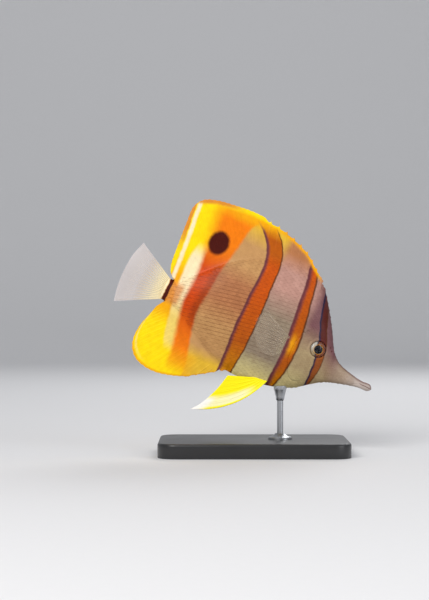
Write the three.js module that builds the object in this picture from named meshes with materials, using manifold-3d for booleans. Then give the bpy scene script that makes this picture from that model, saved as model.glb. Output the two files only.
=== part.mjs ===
// A life-size copperband butterflyfish, nose down as it swims, held on a rod over a flat base.
// The fish is modelled level, in its own frame: x forward from the root of the tail fin, y to its left, z up.
// All sizes are millimetres and all angles are degrees unless a name says otherwise.
import * as THREE from "three";
import { mergeVertices } from "three/addons/utils/BufferGeometryUtils.js";
import Module from "manifold-3d";

const wasm = await Module();
wasm.setup();

// Pose and stand
const PITCH = 26;
const FISH_X = -47;
const FISH_Z = 90;
const GAP = 0.3;
const BASE_LENGTH = 104;
const BASE_WIDTH = 68;
const BASE_HEIGHT = 8;
const BASE_CORNER = 10;
const BASE_BEVEL = 1.2;
const ROD_RADIUS = 1.7;
const FOOT_RADIUS = 6.5;
const FOOT_HEIGHT = 3;
const CUP_RADIUS = 3.6;
const CUP_HEIGHT = 7;
const REST_AT = 79;

// Body outline, each as [distance forward, value]
const BACK = [
  [-3, 6.2], [4, 7.6], [12, 16.5], [26, 31], [42, 40.3], [58, 43.8], [70, 42.2], [78, 37.4],
  [85, 28.4], [91, 19.6], [97, 9.9], [102, 5.3], [110, 2.8], [118, 1.8], [122, 2.1], [124.4, 1.2],
];
const BELLY = [
  [-3, -6], [4, -6.6], [12, -9.6], [26, -17.5], [40, -24.2], [52, -26], [66, -24.6], [78, -21.6],
  [86, -17.8], [93, -12.4], [99, -8.2], [108, -4.9], [117, -2.6], [122, -2.3], [124.4, -1.4],
];
const HALF_WIDTH = [
  [-3, 2.3], [4, 2.9], [14, 4.6], [30, 7], [48, 8.7], [64, 9.3], [76, 9.1], [86, 7.7],
  [93, 6], [98, 4.3], [104, 2.9], [112, 2.1], [118, 1.6], [122, 1.9], [124.4, 1.1],
];
const WIDEST_LEVEL = [[-3, 0.1], [20, 2.5], [50, 4.5], [75, 4], [88, 4.5], [96, 1.2], [104, -0.6], [124.4, -0.1]];
const SLAB = [[-3, 0.55], [10, 0.7], [40, 0.85], [70, 0.8], [84, 0.66], [94, 0.53], [124.4, 0.5]];
const STATION_STEP = 2.9;
const SECTION_SIDES = 26;

// Cuts between the body's parts
const STALK_CUT = 13;
const GILL_CUT = 77.4;
const SNOUT_CUT = 103;

// Eyes and nostrils
const EYE_AT = [88.2, 6.8];
const EYE_RADIUS = 4.7;
const EYE_DEPTH = 3;
const EYE_PROUD = 1.5;
const IRIS_RADIUS = 3.1;
const IRIS_RAISE = 0.25;
const ORBIT_RADIUS = 5.2;
const ORBIT_THICKNESS = 0.8;
const NOSTRILS = [[95.6, 9.1], [94.1, 10.6]];
const NOSTRIL_RADIUS = 0.5;

// Gill cover outline from the side, gill opening first and the front edge last
const GILL_COVER = [
  [81.4, 15.6], [77.4, 11.6], [75.3, 5], [75.3, -2.5], [77.4, -9.5], [81.8, -14.4],
  [86.2, -13], [84.6, -7], [83.4, 1], [83.2, 9],
];
const COVER_POINTS = 26;
const COVER_INNER = 4.6;
const COVER_RAISE = 0.45;

// Mouth, from the side
const MOUTH_TIP = [127, 0.1];
const MOUTH_CORNER = [117.4, -0.5];
const JAW_END = [110, -6.5];
const MOUTH_LINE = 0.35;

// Fins
const MEMBRANE_HALF = 0.27;
const RAY_HALF = 0.22;
const SPINE_HALF = 0.42;
const ROOT_SINK = 3;
const ROOT_HALF = 1.3;
const FIN_BOW = 0.04;
const SPINE_NOTCH = 1.7;
const DORSAL_SPINES = 9;
const SPINE_ROOTS = [76.2, 38.9];
const SPINE_MARGIN = [[73.4, 43.2], [68.6, 46.8], [60.5, 52.8], [51, 56.4], [40.5, 58.8], [30.3, 59.3]];
const DORSAL_RAYS = 29;
const DORSAL_ROOTS = [38.6, 3.2];
const DORSAL_MARGIN = [
  [30, 59.3], [22, 59.1], [12, 57.8], [3, 56.1], [-4, 53], [-7.3, 47.6], [-7, 38], [-5.8, 24], [-4.6, 13.5], [-3, 9.4],
];
const ANAL_SPINES = 3;
const ANAL_SPINE_ROOTS = [47.6, 40];
const ANAL_SPINE_MARGIN = [[43, -29.4], [37, -33.8], [31.2, -37.6]];
const ANAL_RAYS = 20;
const ANAL_ROOTS = [39.3, 3];
const ANAL_MARGIN = [
  [30.4, -38], [22, -41.4], [14, -43.4], [7, -43.4], [0.6, -41.4], [-3.8, -37],
  [-5.6, -31], [-5.2, -23.5], [-3.2, -16], [-1.8, -10.6],
];
const TAIL_RAYS = 17;
const TAIL_ROOT = [1.5, 4.6];
const TAIL_MARGIN = [[-23.6, 17.6], [-26, 9.2], [-26.7, 0], [-26.2, -9.6], [-24.4, -18.6]];
const TAIL_SWEEP = 3.2;
const PECTORAL_RAYS = 15;
const PECTORAL_ROOT = [[74.4, 5.2], [71.8, -2.2]];
const PECTORAL_MARGIN = [[54.6, 13.6], [51.4, 11], [50.6, 6], [52.4, 0.4], [56.4, -4.8], [61.4, -7.8], [66.4, -7.6]];
const PECTORAL_FLARE = 24;
const PELVIC_RAYS = 6;
const PELVIC_LEVEL = 2.1;
const PELVICS = [
  {
    side: "right", sign: -1, roots: [71, 64.6], bow: 0.24, flare: 9,
    margin: [[39.6, -52.8], [42.8, -48.6], [45.4, -43.4], [48, -36.4], [50, -27.6]],
  },
  {
    side: "left", sign: 1, roots: [71, 64.6], bow: 0.22, flare: 13,
    margin: [[42.6, -51.4], [45.4, -47.2], [47.6, -42.2], [49.6, -35.6], [51.4, -27.8]],
  },
];

// Colours
const PEARL = 0xd9d2c4;
const ORANGE = 0xe8820c;
const YELLOW = 0xffd400;
const CLEAR = 0xcfd2dc;
const EYE_BLACK = 0x17131c;
const STAND_BLACK = 0x1d1d1f;
const STEEL = 0xb9bcc0;

// Maths for profiles and margins

// A smooth curve through [x, y] pairs in order of x, with the slope at each point taken across its neighbours.
function curveThrough(points) {
  const slope = points.map((p, i) => {
    const before = points[Math.max(i - 1, 0)];
    const after = points[Math.min(i + 1, points.length - 1)];
    return (after[1] - before[1]) / (after[0] - before[0]);
  });
  return (x) => {
    let i = 0;
    while (i < points.length - 2 && x > points[i + 1][0]) i += 1;
    const span = points[i + 1][0] - points[i][0];
    const t = THREE.MathUtils.clamp((x - points[i][0]) / span, 0, 1);
    const [low, high] = [points[i][1], points[i + 1][1]];
    const rise = 3 * t * t - 2 * t * t * t;
    const lead = t * (1 - t) * (1 - t) * slope[i] * span;
    const trail = t * t * (t - 1) * slope[i + 1] * span;
    return low + (high - low) * rise + lead + trail;
  };
}

// A margin through points given from the side: share 0 to 1 of its length, to a point [x, z].
function marginThrough(points) {
  const curve = new THREE.CatmullRomCurve3(points.map(([x, z]) => new THREE.Vector3(x, 0, z)), false, "centripetal");
  return (share) => {
    const p = curve.getPointAt(THREE.MathUtils.clamp(share, 0, 1));
    return [p.x, p.z];
  };
}

const back = curveThrough(BACK);
const belly = curveThrough(BELLY);
const halfWidth = curveThrough(HALF_WIDTH);
const widestLevel = curveThrough(WIDEST_LEVEL);
const slab = curveThrough(SLAB);

// How far the flesh reaches sideways at a point seen from the side.
function sideAt(x, z) {
  const level = widestLevel(x);
  const reach = z > level ? back(x) - level : level - belly(x);
  const t = Math.min(Math.abs(z - level) / reach, 1);
  return halfWidth(x) * Math.pow(1 - t * t, slab(x));
}

// The outward direction of the left flank at a point seen from the side.
function flankNormal(x, z) {
  const d = 0.6;
  const along = (sideAt(x + d, z) - sideAt(x - d, z)) / (2 * d);
  const up = (sideAt(x, z + d) - sideAt(x, z - d)) / (2 * d);
  return new THREE.Vector3(-along, 1, -up).normalize();
}

// Solids

function solidFrom(geometry) {
  const bare = geometry.clone();
  bare.deleteAttribute("normal");
  bare.deleteAttribute("uv");
  const merged = mergeVertices(bare, 1e-4);
  const vertProperties = new Float32Array(merged.attributes.position.array);
  const triVerts = new Uint32Array(merged.index.array);
  const made = new wasm.Manifold(new wasm.Mesh({ numProp: 3, vertProperties, triVerts }));
  if (made.volume() > 0) return made;
  for (let i = 0; i < triVerts.length; i += 3) {
    [triVerts[i + 1], triVerts[i + 2]] = [triVerts[i + 2], triVerts[i + 1]];
  }
  return new wasm.Manifold(new wasm.Mesh({ numProp: 3, vertProperties, triVerts }));
}

function largest(solid) {
  return solid.decompose().reduce((best, piece) => (piece.volume() > best.volume() ? piece : best));
}

function geometryOf(solid) {
  const mesh = solid.getMesh();
  const positions = new Float32Array(mesh.numVert * 3);
  for (let i = 0; i < mesh.numVert; i += 1) {
    const at = i * mesh.numProp;
    positions.set(mesh.vertProperties.subarray(at, at + 3), i * 3);
  }
  const geometry = new THREE.BufferGeometry();
  geometry.setAttribute("position", new THREE.BufferAttribute(positions, 3));
  geometry.setIndex(new THREE.BufferAttribute(new Uint32Array(mesh.triVerts), 1));
  return geometry;
}

function boxSolid(low, high) {
  const size = high.map((v, i) => v - low[i]);
  const box = new THREE.BoxGeometry(...size);
  box.translate(...low.map((v, i) => v + size[i] / 2));
  return solidFrom(box);
}

// A plate with an outline given from the side, from y = near to y = far.
function sidePlate(outline, near, far) {
  const shape = new THREE.Shape(outline.map(([x, z]) => new THREE.Vector2(x, z)));
  const plate = new THREE.ExtrudeGeometry(shape, { depth: far - near, bevelEnabled: false });
  plate.rotateX(Math.PI / 2);
  plate.translate(0, far, 0);
  return solidFrom(plate);
}

// The whole flesh as rings along the body. Grow adds to every side, for the gaps that touching parts keep.
function fleshSolid(grow) {
  const first = BACK[0][0];
  const last = BACK[BACK.length - 1][0];
  const count = Math.round((last - first) / STATION_STEP);
  const positions = [];
  for (let i = 0; i <= count; i += 1) {
    const x = first + ((last - first) * i) / count;
    const level = widestLevel(x);
    const out = i === 0 ? -grow : i === count ? grow : 0;
    for (let j = 0; j < SECTION_SIDES; j += 1) {
      const turn = (2 * Math.PI * j) / SECTION_SIDES;
      const across = Math.sign(Math.cos(turn)) * Math.pow(Math.abs(Math.cos(turn)), 2 * slab(x));
      const reach = Math.sin(turn) > 0 ? back(x) + grow - level : level - belly(x) + grow;
      positions.push(x + out, (halfWidth(x) + grow) * across, level + reach * Math.sin(turn));
    }
  }
  const index = [];
  const ring = (i, j) => i * SECTION_SIDES + (j % SECTION_SIDES);
  for (let i = 0; i < count; i += 1) {
    for (let j = 0; j < SECTION_SIDES; j += 1) {
      index.push(ring(i, j), ring(i + 1, j), ring(i + 1, j + 1));
      index.push(ring(i, j), ring(i + 1, j + 1), ring(i, j + 1));
    }
  }
  for (let j = 1; j < SECTION_SIDES - 1; j += 1) {
    index.push(ring(0, 0), ring(0, j), ring(0, j + 1));
    index.push(ring(count, 0), ring(count, j + 1), ring(count, j));
  }
  const geometry = new THREE.BufferGeometry();
  geometry.setAttribute("position", new THREE.Float32BufferAttribute(positions, 3));
  geometry.setIndex(index);
  return solidFrom(geometry);
}

const flesh = fleshSolid(0);
const fleshAndGap = fleshSolid(GAP);

// An oval lying on the flank, its short axis along the flank's outward direction.
function flankOval(at, sign, radius, depth, centreDepth, sides = 16) {
  const normal = flankNormal(at[0], at[1]);
  const oval = new THREE.SphereGeometry(1, sides, Math.round(sides * 0.6));
  oval.rotateX(Math.PI / 2);
  oval.scale(radius, radius, depth);
  oval.applyQuaternion(new THREE.Quaternion().setFromUnitVectors(new THREE.Vector3(0, 0, 1), normal));
  const centre = new THREE.Vector3(at[0], sideAt(at[0], at[1]), at[1]).addScaledVector(normal, centreDepth);
  oval.translate(centre.x, centre.y, centre.z);
  if (sign < 0) oval.scale(1, -1, 1);
  return solidFrom(oval);
}

function flankRing(at, sign, radius, thickness) {
  const normal = flankNormal(at[0], at[1]);
  const ring = new THREE.TorusGeometry(radius, thickness, 6, 22);
  ring.applyQuaternion(new THREE.Quaternion().setFromUnitVectors(new THREE.Vector3(0, 0, 1), normal));
  ring.translate(at[0], sideAt(at[0], at[1]) - thickness * 0.35, at[1]);
  if (sign < 0) ring.scale(1, -1, 1);
  return solidFrom(ring);
}

function eyeSolid(sign) {
  const ball = flankOval(EYE_AT, sign, EYE_RADIUS, EYE_DEPTH, EYE_PROUD - EYE_DEPTH);
  const cornea = flankOval(EYE_AT, sign, IRIS_RADIUS, EYE_DEPTH * 0.8, EYE_PROUD + IRIS_RAISE - EYE_DEPTH * 0.8);
  return ball.add(cornea);
}

function socketSolid(sign) {
  return flankOval(EYE_AT, sign, EYE_RADIUS + GAP, EYE_DEPTH + GAP, EYE_PROUD - EYE_DEPTH);
}

// The outline moved outwards by a distance, for the gap round a cut-out plate.
function grownOutline(outline, by) {
  const shape = new THREE.Shape(outline.map(([x, z]) => new THREE.Vector2(x, z)));
  const turn = THREE.ShapeUtils.isClockWise(shape.getPoints()) ? -1 : 1;
  return outline.map((point, i) => {
    const before = outline[(i + outline.length - 1) % outline.length];
    const after = outline[(i + 1) % outline.length];
    const direction = new THREE.Vector2(after[0] - before[0], after[1] - before[1]).normalize();
    return [point[0] + direction.y * by * turn, point[1] - direction.x * by * turn];
  });
}

function coverPlate(sign, by) {
  const corners = GILL_COVER.map(([x, z]) => new THREE.Vector3(x, 0, z));
  const round = new THREE.CatmullRomCurve3(corners, true).getSpacedPoints(COVER_POINTS).slice(1);
  const outline = grownOutline(round.map((p) => [p.x, p.z]), by);
  const inner = COVER_INNER - by;
  return sign > 0 ? sidePlate(outline, inner, 14) : sidePlate(outline, -14, -inner);
}

// The lower jaw lies under the mouth line and runs back to a point behind the chin.
function snoutPieces(whole) {
  const jawOutline = [MOUTH_TIP, MOUTH_CORNER, JAW_END, [MOUTH_TIP[0], JAW_END[1]]];
  const jawPlate = sidePlate(jawOutline, -6, 6);
  const mouthRoom = sidePlate(grownOutline(jawOutline, MOUTH_LINE), -6, 6);
  return { snout: largest(whole.subtract(mouthRoom)), jaw: largest(whole.intersect(jawPlate)) };
}

// Fins

// A thin closed solid over a grid: columns run from root to margin, and both faces share the same split.
function finSolid(columns, rows, normal, halfAt) {
  const positions = [];
  const perFace = columns.length * (rows + 1);
  for (const side of [1, -1]) {
    for (const column of columns) {
      for (let r = 0; r <= rows; r += 1) {
        const v = r / rows;
        const p = column.at(v).addScaledVector(normal, side * halfAt(v, column.lift));
        positions.push(p.x, p.y, p.z);
      }
    }
  }
  const front = (c, r) => c * (rows + 1) + r;
  const rear = (c, r) => perFace + front(c, r);
  const index = [];
  const wall = (c0, r0, c1, r1) => {
    index.push(front(c1, r1), front(c0, r0), rear(c0, r0));
    index.push(front(c1, r1), rear(c0, r0), rear(c1, r1));
  };
  for (let c = 0; c < columns.length - 1; c += 1) {
    for (let r = 0; r < rows; r += 1) {
      index.push(front(c, r), front(c + 1, r), front(c + 1, r + 1));
      index.push(front(c, r), front(c + 1, r + 1), front(c, r + 1));
      index.push(rear(c, r), rear(c + 1, r + 1), rear(c + 1, r));
      index.push(rear(c, r), rear(c, r + 1), rear(c + 1, r + 1));
    }
    wall(c, 0, c + 1, 0);
    wall(c + 1, rows, c, rows);
  }
  for (let r = 0; r < rows; r += 1) {
    wall(0, r + 1, 0, r);
    wall(columns.length - 1, r, columns.length - 1, r + 1);
  }
  const geometry = new THREE.BufferGeometry();
  geometry.setAttribute("position", new THREE.Float32BufferAttribute(positions, 3));
  geometry.setIndex(index);
  return solidFrom(geometry);
}

// Thickness of a fin in the body's middle plane: thick where it leaves the flesh, thin at the margin.
function medianHalf(liftHalf) {
  return (v, lift) => {
    const taper = Math.pow(1 - v, 2.6);
    return MEMBRANE_HALF + (ROOT_HALF - MEMBRANE_HALF) * taper + lift * liftHalf * (1 - 0.6 * v);
  };
}

// A column in the middle plane from [x, z] to [x, z], bowed backwards by a share of its length.
function medianColumn(root, tip, bow, lift) {
  const middle = [(root[0] + tip[0]) / 2, (root[1] + tip[1]) / 2];
  const bend = [-(tip[1] - root[1]) * bow, (tip[0] - root[0]) * bow];
  const points = [root, [middle[0] + bend[0], middle[1] + bend[1]], tip];
  const curve = new THREE.QuadraticBezierCurve3(...points.map(([x, z]) => new THREE.Vector3(x, 0, z)));
  return { lift, at: (v) => curve.getPoint(v) };
}

// Root and margin of ray number i of count, at a shift of part of a ray spacing.
function shareOf(i, count, shift) {
  return (i + 0.5 + shift) / count;
}

// Crest and feet of each soft ray, as three columns a ray, and the membrane's two ends.
function softColumns(count, rootAt, marginAt, bow, foot = 0.26) {
  const columns = [];
  const add = (share, lift) => columns.push(medianColumn(rootAt(share), marginAt(share), bow, lift));
  add(0, 0);
  for (let i = 0; i < count; i += 1) {
    for (const [shift, lift] of [[-foot, 0], [0, 1], [foot, 0]]) add(shareOf(i, count, shift), lift);
  }
  add(1, 0);
  return columns;
}

// Spines with the membrane cut back between them: it leaves each spine near the tip and meets the next lower down.
function spineColumns(count, rootAt, marginAt, notch, bow) {
  const columns = [];
  const pulled = (root, tip, by) => {
    const length = Math.hypot(tip[0] - root[0], tip[1] - root[1]);
    return [tip[0] + ((root[0] - tip[0]) * by) / length, tip[1] + ((root[1] - tip[1]) * by) / length];
  };
  const add = (share, lift, drop) => {
    const root = rootAt(share);
    columns.push(medianColumn(root, pulled(root, marginAt(share), drop * notch), bow, lift));
  };
  for (let i = 0; i < count; i += 1) {
    for (const [shift, lift, drop] of [[-0.16, 0, 1], [0, 1, 0], [0.16, 0, 0.5], [0.5, 0, 0.8]]) {
      add((i + 0.2 + shift) / count, lift, drop);
    }
  }
  add(1, 0, 0.2);
  return columns;
}

// A root line along the back or belly, sunk into the flesh.
function rootLine(profile, ends, sink) {
  return (share) => {
    const x = ends[0] + (ends[1] - ends[0]) * share;
    return [x, profile(x) + sink];
  };
}

const MEDIAN = new THREE.Vector3(0, 1, 0);

function spinyDorsal() {
  const roots = rootLine(back, SPINE_ROOTS, -ROOT_SINK);
  const columns = spineColumns(DORSAL_SPINES, roots, marginThrough(SPINE_MARGIN), SPINE_NOTCH, FIN_BOW);
  return finSolid(columns, 4, MEDIAN, medianHalf(SPINE_HALF));
}

function softDorsal() {
  const roots = rootLine(back, DORSAL_ROOTS, -ROOT_SINK);
  const columns = softColumns(DORSAL_RAYS, roots, marginThrough(DORSAL_MARGIN), FIN_BOW);
  return finSolid(columns, 4, MEDIAN, medianHalf(RAY_HALF));
}

function analFin() {
  const spineRoots = rootLine(belly, ANAL_SPINE_ROOTS, ROOT_SINK);
  const rayRoots = rootLine(belly, ANAL_ROOTS, ROOT_SINK);
  const spines = spineColumns(
    ANAL_SPINES, spineRoots, marginThrough(ANAL_SPINE_MARGIN), SPINE_NOTCH * 0.6, -FIN_BOW,
  );
  const rays = softColumns(ANAL_RAYS, rayRoots, marginThrough(ANAL_MARGIN), -FIN_BOW);
  return finSolid([...spines, ...rays], 4, MEDIAN, medianHalf(RAY_HALF * 1.3));
}

function tailFin() {
  const marginAt = marginThrough(TAIL_MARGIN);
  const rootAt = (share) => [TAIL_ROOT[0], TAIL_ROOT[1] * (1 - 2 * share)];
  const columns = softColumns(TAIL_RAYS, rootAt, marginAt, 0).map(({ lift, at }) => ({
    lift,
    at: (v) => at(v).add(new THREE.Vector3(0, TAIL_SWEEP * v * v, 0)),
  }));
  return finSolid(columns, 4, MEDIAN, medianHalf(RAY_HALF));
}

// A paired fin leans out from the flank: points given from the side swing out about the root line.
function pairedColumns(columns, root, sign, flare) {
  const lean = Math.tan(THREE.MathUtils.degToRad(flare));
  return columns.map(({ lift, at }) => ({
    lift,
    at: (v) => {
      const p = at(v);
      const away = at(0).distanceTo(p);
      return new THREE.Vector3(p.x, sign * (root + away * lean), p.z);
    },
  }));
}

function pectoralFin(sign) {
  const [top, bottom] = PECTORAL_ROOT;
  const rootAt = (share) => [top[0] + (bottom[0] - top[0]) * share, top[1] + (bottom[1] - top[1]) * share];
  const flat = softColumns(PECTORAL_RAYS, rootAt, marginThrough(PECTORAL_MARGIN), FIN_BOW);
  const root = sideAt((top[0] + bottom[0]) / 2, (top[1] + bottom[1]) / 2) - 1.4;
  const normal = new THREE.Vector3(0.35, 0.94 * sign, 0).normalize();
  const half = (v, lift) => MEMBRANE_HALF + 0.5 * Math.pow(1 - v, 4) + lift * RAY_HALF * (1 - 0.6 * v);
  return finSolid(pairedColumns(flat, root, sign, PECTORAL_FLARE), 3, normal, half);
}

function pelvicFin({ sign, roots, margin, bow, flare }) {
  const rootAt = (share) => {
    const x = roots[0] + (roots[1] - roots[0]) * share;
    return [x, belly(x) + ROOT_SINK];
  };
  const marginAt = marginThrough(margin);
  const flat = [];
  for (let i = 0; i < PELVIC_RAYS; i += 1) {
    for (const [shift, lift] of [[-0.3, 0], [0, i === 0 ? 2 : 1], [0.3, 0]]) {
      const share = shareOf(i, PELVIC_RAYS, shift);
      flat.push(medianColumn(rootAt(share), marginAt(share), bow * (1 - share), lift));
    }
  }
  const normal = new THREE.Vector3(0, sign, 0);
  const half = (v, lift) => MEMBRANE_HALF + 0.7 * Math.pow(1 - v, 3) + lift * RAY_HALF * (1 - 0.7 * v);
  return finSolid(pairedColumns(flat, PELVIC_LEVEL, sign, flare), 6, normal, half);
}

function offFlesh(fin) {
  return largest(fin.subtract(fleshAndGap));
}

// Stand

function baseSolid() {
  const [x, y, r] = [BASE_LENGTH / 2 - BASE_BEVEL, BASE_WIDTH / 2 - BASE_BEVEL, BASE_CORNER];
  const shape = new THREE.Shape();
  shape.moveTo(-x + r, -y);
  shape.lineTo(x - r, -y);
  shape.absarc(x - r, -y + r, r, -Math.PI / 2, 0);
  shape.absarc(x - r, y - r, r, 0, Math.PI / 2);
  shape.absarc(-x + r, y - r, r, Math.PI / 2, Math.PI);
  shape.absarc(-x + r, -y + r, r, Math.PI, Math.PI * 1.5);
  const plate = new THREE.ExtrudeGeometry(shape, {
    depth: BASE_HEIGHT - 2 * BASE_BEVEL, bevelThickness: BASE_BEVEL, bevelSize: BASE_BEVEL, bevelSegments: 2, curveSegments: 6,
  });
  plate.translate(0, 0, BASE_BEVEL);
  return solidFrom(plate);
}

function turned(profile, x, sides = 24) {
  const lathe = new THREE.LatheGeometry(profile.map(([r, z]) => new THREE.Vector2(r, z)), sides);
  lathe.rotateX(Math.PI / 2);
  lathe.translate(x, 0, 0);
  return solidFrom(lathe);
}

// Assembly

const pitch = THREE.MathUtils.degToRad(PITCH);
const fish = new THREE.Group();
fish.rotation.y = pitch;
fish.position.set(FISH_X, 0, FISH_Z);
fish.updateMatrixWorld(true);
const model = new THREE.Group();
model.add(fish);

function material(color, roughness, metalness = 0) {
  return new THREE.MeshStandardMaterial({ color, roughness, metalness });
}

function addPart(group, name, solid, look) {
  const part = new THREE.Mesh(geometryOf(solid), look);
  part.name = name;
  group.add(part);
}

const skin = material(PEARL, 0.42);
const band = material(ORANGE, 0.42);
const lemon = material(YELLOW, 0.45);
const glassy = material(CLEAR, 0.35);
const wet = material(EYE_BLACK, 0.08);

function addBody() {
  const ends = [BACK[0][0] - 1, BACK[BACK.length - 1][0] + 1];
  const lengthOf = (low, high) => boxSolid([low, -20, -60], [high, 20, 80]);
  let trunk = flesh;
  for (const sign of [1, -1]) trunk = trunk.subtract(coverPlate(sign, GAP));
  addPart(fish, "tail_stalk", largest(trunk.intersect(lengthOf(ends[0], STALK_CUT - GAP / 2))), skin);
  addPart(fish, "torso", largest(trunk.intersect(lengthOf(STALK_CUT + GAP / 2, GILL_CUT - GAP / 2))), skin);
  let head = trunk.intersect(lengthOf(GILL_CUT + GAP / 2, SNOUT_CUT - GAP / 2));
  for (const sign of [1, -1]) {
    head = head.add(flankRing(EYE_AT, sign, ORBIT_RADIUS, ORBIT_THICKNESS)).subtract(socketSolid(sign));
    for (const at of NOSTRILS) head = head.subtract(flankOval(at, sign, NOSTRIL_RADIUS, 0.9, 0, 8));
  }
  addPart(fish, "head", largest(head), skin);
  const { snout, jaw } = snoutPieces(trunk.intersect(lengthOf(SNOUT_CUT + GAP / 2, ends[1])));
  addPart(fish, "snout", snout, skin);
  addPart(fish, "lower_jaw", jaw, skin);
}

function addSides() {
  const proud = fleshSolid(COVER_RAISE);
  for (const [side, sign] of [["left", 1], ["right", -1]]) {
    const socketRoom = flankRing(EYE_AT, sign, ORBIT_RADIUS, ORBIT_THICKNESS + GAP);
    addPart(fish, `gill_cover_${side}`, largest(proud.intersect(coverPlate(sign, 0)).subtract(socketRoom)), skin);
    addPart(fish, `eye_${side}`, eyeSolid(sign), wet);
    addPart(fish, `pectoral_fin_${side}`, offFlesh(pectoralFin(sign)), glassy);
  }
}

function addFins() {
  addPart(fish, "dorsal_fin_spiny", offFlesh(spinyDorsal()), lemon);
  addPart(fish, "dorsal_fin_soft", offFlesh(softDorsal()), band);
  addPart(fish, "anal_fin", offFlesh(analFin()), lemon);
  addPart(fish, "tail_fin", offFlesh(tailFin()), glassy);
  for (const pelvic of PELVICS) addPart(fish, `pelvic_fin_${pelvic.side}`, offFlesh(pelvicFin(pelvic)), lemon);
}

function addStand() {
  const rest = new THREE.Vector3(REST_AT, 0, belly(REST_AT)).applyMatrix4(fish.matrixWorld);
  const black = material(STAND_BLACK, 0.35);
  const steel = material(STEEL, 0.3, 0.9);
  const footFloor = BASE_HEIGHT + GAP;
  const footTop = footFloor + FOOT_HEIGHT;
  const cupFloor = rest.z - CUP_HEIGHT;
  addPart(model, "stand_base", baseSolid(), black);
  const foot = [[0, footFloor], [FOOT_RADIUS, footFloor], [FOOT_RADIUS, footFloor + 1], [FOOT_RADIUS * 0.5, footTop], [0, footTop]];
  addPart(model, "stand_foot", turned(foot, rest.x), steel);
  const rodFloor = footTop + GAP;
  const rodTop = cupFloor - GAP;
  addPart(model, "stand_rod", turned([[0, rodFloor], [ROD_RADIUS, rodFloor], [ROD_RADIUS, rodTop], [0, rodTop]], rest.x), steel);
  const cupTop = rest.z + 1.5;
  const cup = turned([[0, cupFloor], [ROD_RADIUS + 0.3, cupFloor], [CUP_RADIUS, cupTop - 2], [CUP_RADIUS, cupTop], [0, cupTop]], rest.x);
  const room = solidFrom(geometryOf(fleshAndGap).applyMatrix4(fish.matrixWorld));
  addPart(model, "stand_cup", largest(cup.subtract(room)), steel);
}

addBody();
addSides();
addFins();
addStand();

export default model;
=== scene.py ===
"""A life-size copperband butterflyfish on a display stand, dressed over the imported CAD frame.

The fish is shaped level, in its own frame in millimetres: s forward from the root of the tail fin,
y to its left and h up. Every finished mesh is then turned to the swimming pose and written in metres.
"""

import math
from types import SimpleNamespace

import bpy
import numpy as np
from bpy.props import FloatProperty, FloatVectorProperty, IntProperty, PointerProperty
from mathutils import Matrix, Vector


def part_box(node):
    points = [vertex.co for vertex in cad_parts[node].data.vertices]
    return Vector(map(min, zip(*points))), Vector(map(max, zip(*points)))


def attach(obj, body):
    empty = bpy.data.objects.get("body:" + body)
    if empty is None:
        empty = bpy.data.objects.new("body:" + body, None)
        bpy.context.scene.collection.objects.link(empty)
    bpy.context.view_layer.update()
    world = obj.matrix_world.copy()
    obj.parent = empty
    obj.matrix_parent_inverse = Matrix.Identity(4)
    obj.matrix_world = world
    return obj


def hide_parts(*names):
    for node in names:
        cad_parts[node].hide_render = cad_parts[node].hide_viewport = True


bl_info = {
    "name": "Copperband butterflyfish",
    "version": (1, 0, 0),
    "blender": (4, 5, 0),
    "location": "View3D > Sidebar > Fish",
    "description": "Builds a life-size copperband butterflyfish model on its stand",
    "category": "Object",
}

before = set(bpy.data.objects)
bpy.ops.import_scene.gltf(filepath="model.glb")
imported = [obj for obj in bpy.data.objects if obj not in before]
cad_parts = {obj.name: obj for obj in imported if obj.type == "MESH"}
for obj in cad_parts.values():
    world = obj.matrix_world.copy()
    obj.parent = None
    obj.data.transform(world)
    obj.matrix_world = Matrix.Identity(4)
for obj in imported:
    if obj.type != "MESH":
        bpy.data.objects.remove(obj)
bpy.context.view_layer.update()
BODY = "root"
MM = 0.001
UNWRAP = "OFBake"
SCALE_MARKS = ("rim", "tone", "row")

# Pose: the fish's own frame in the model's frame
PITCH = math.radians(26)
FISH_AT = (-47.0, 0.0, 90.0)

# Body outline, each as (distance forward, value)
BACK = [
    (-3, 6.2), (4, 7.6), (12, 16.5), (26, 31), (42, 40.3), (58, 43.8), (70, 42.2), (78, 37.4),
    (85, 28.4), (91, 19.6), (97, 9.9), (102, 5.3), (110, 2.8), (118, 1.8), (122, 2.1), (124.4, 1.2),
]
BELLY = [
    (-3, -6), (4, -6.6), (12, -9.6), (26, -17.5), (40, -24.2), (52, -26), (66, -24.6), (78, -21.6),
    (86, -17.8), (93, -12.4), (99, -8.2), (108, -4.9), (117, -2.6), (122, -2.3), (124.4, -1.4),
]
HALF_WIDTH = [
    (-3, 2.3), (4, 2.9), (14, 4.6), (30, 7), (48, 8.7), (64, 9.3), (76, 9.1), (86, 7.7),
    (93, 6), (98, 4.3), (104, 2.9), (112, 2.1), (118, 1.6), (122, 1.9), (124.4, 1.1),
]
WIDEST_LEVEL = [(-3, 0.1), (20, 2.5), (50, 4.5), (75, 4), (88, 4.5), (96, 1.2), (104, -0.6), (124.4, -0.1)]
SLAB = [(-3, 0.55), (10, 0.7), (40, 0.85), (70, 0.8), (84, 0.66), (94, 0.53), (124.4, 0.5)]
TAIL_END = BACK[0][0]
SNOUT_END = BACK[-1][0]

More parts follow.
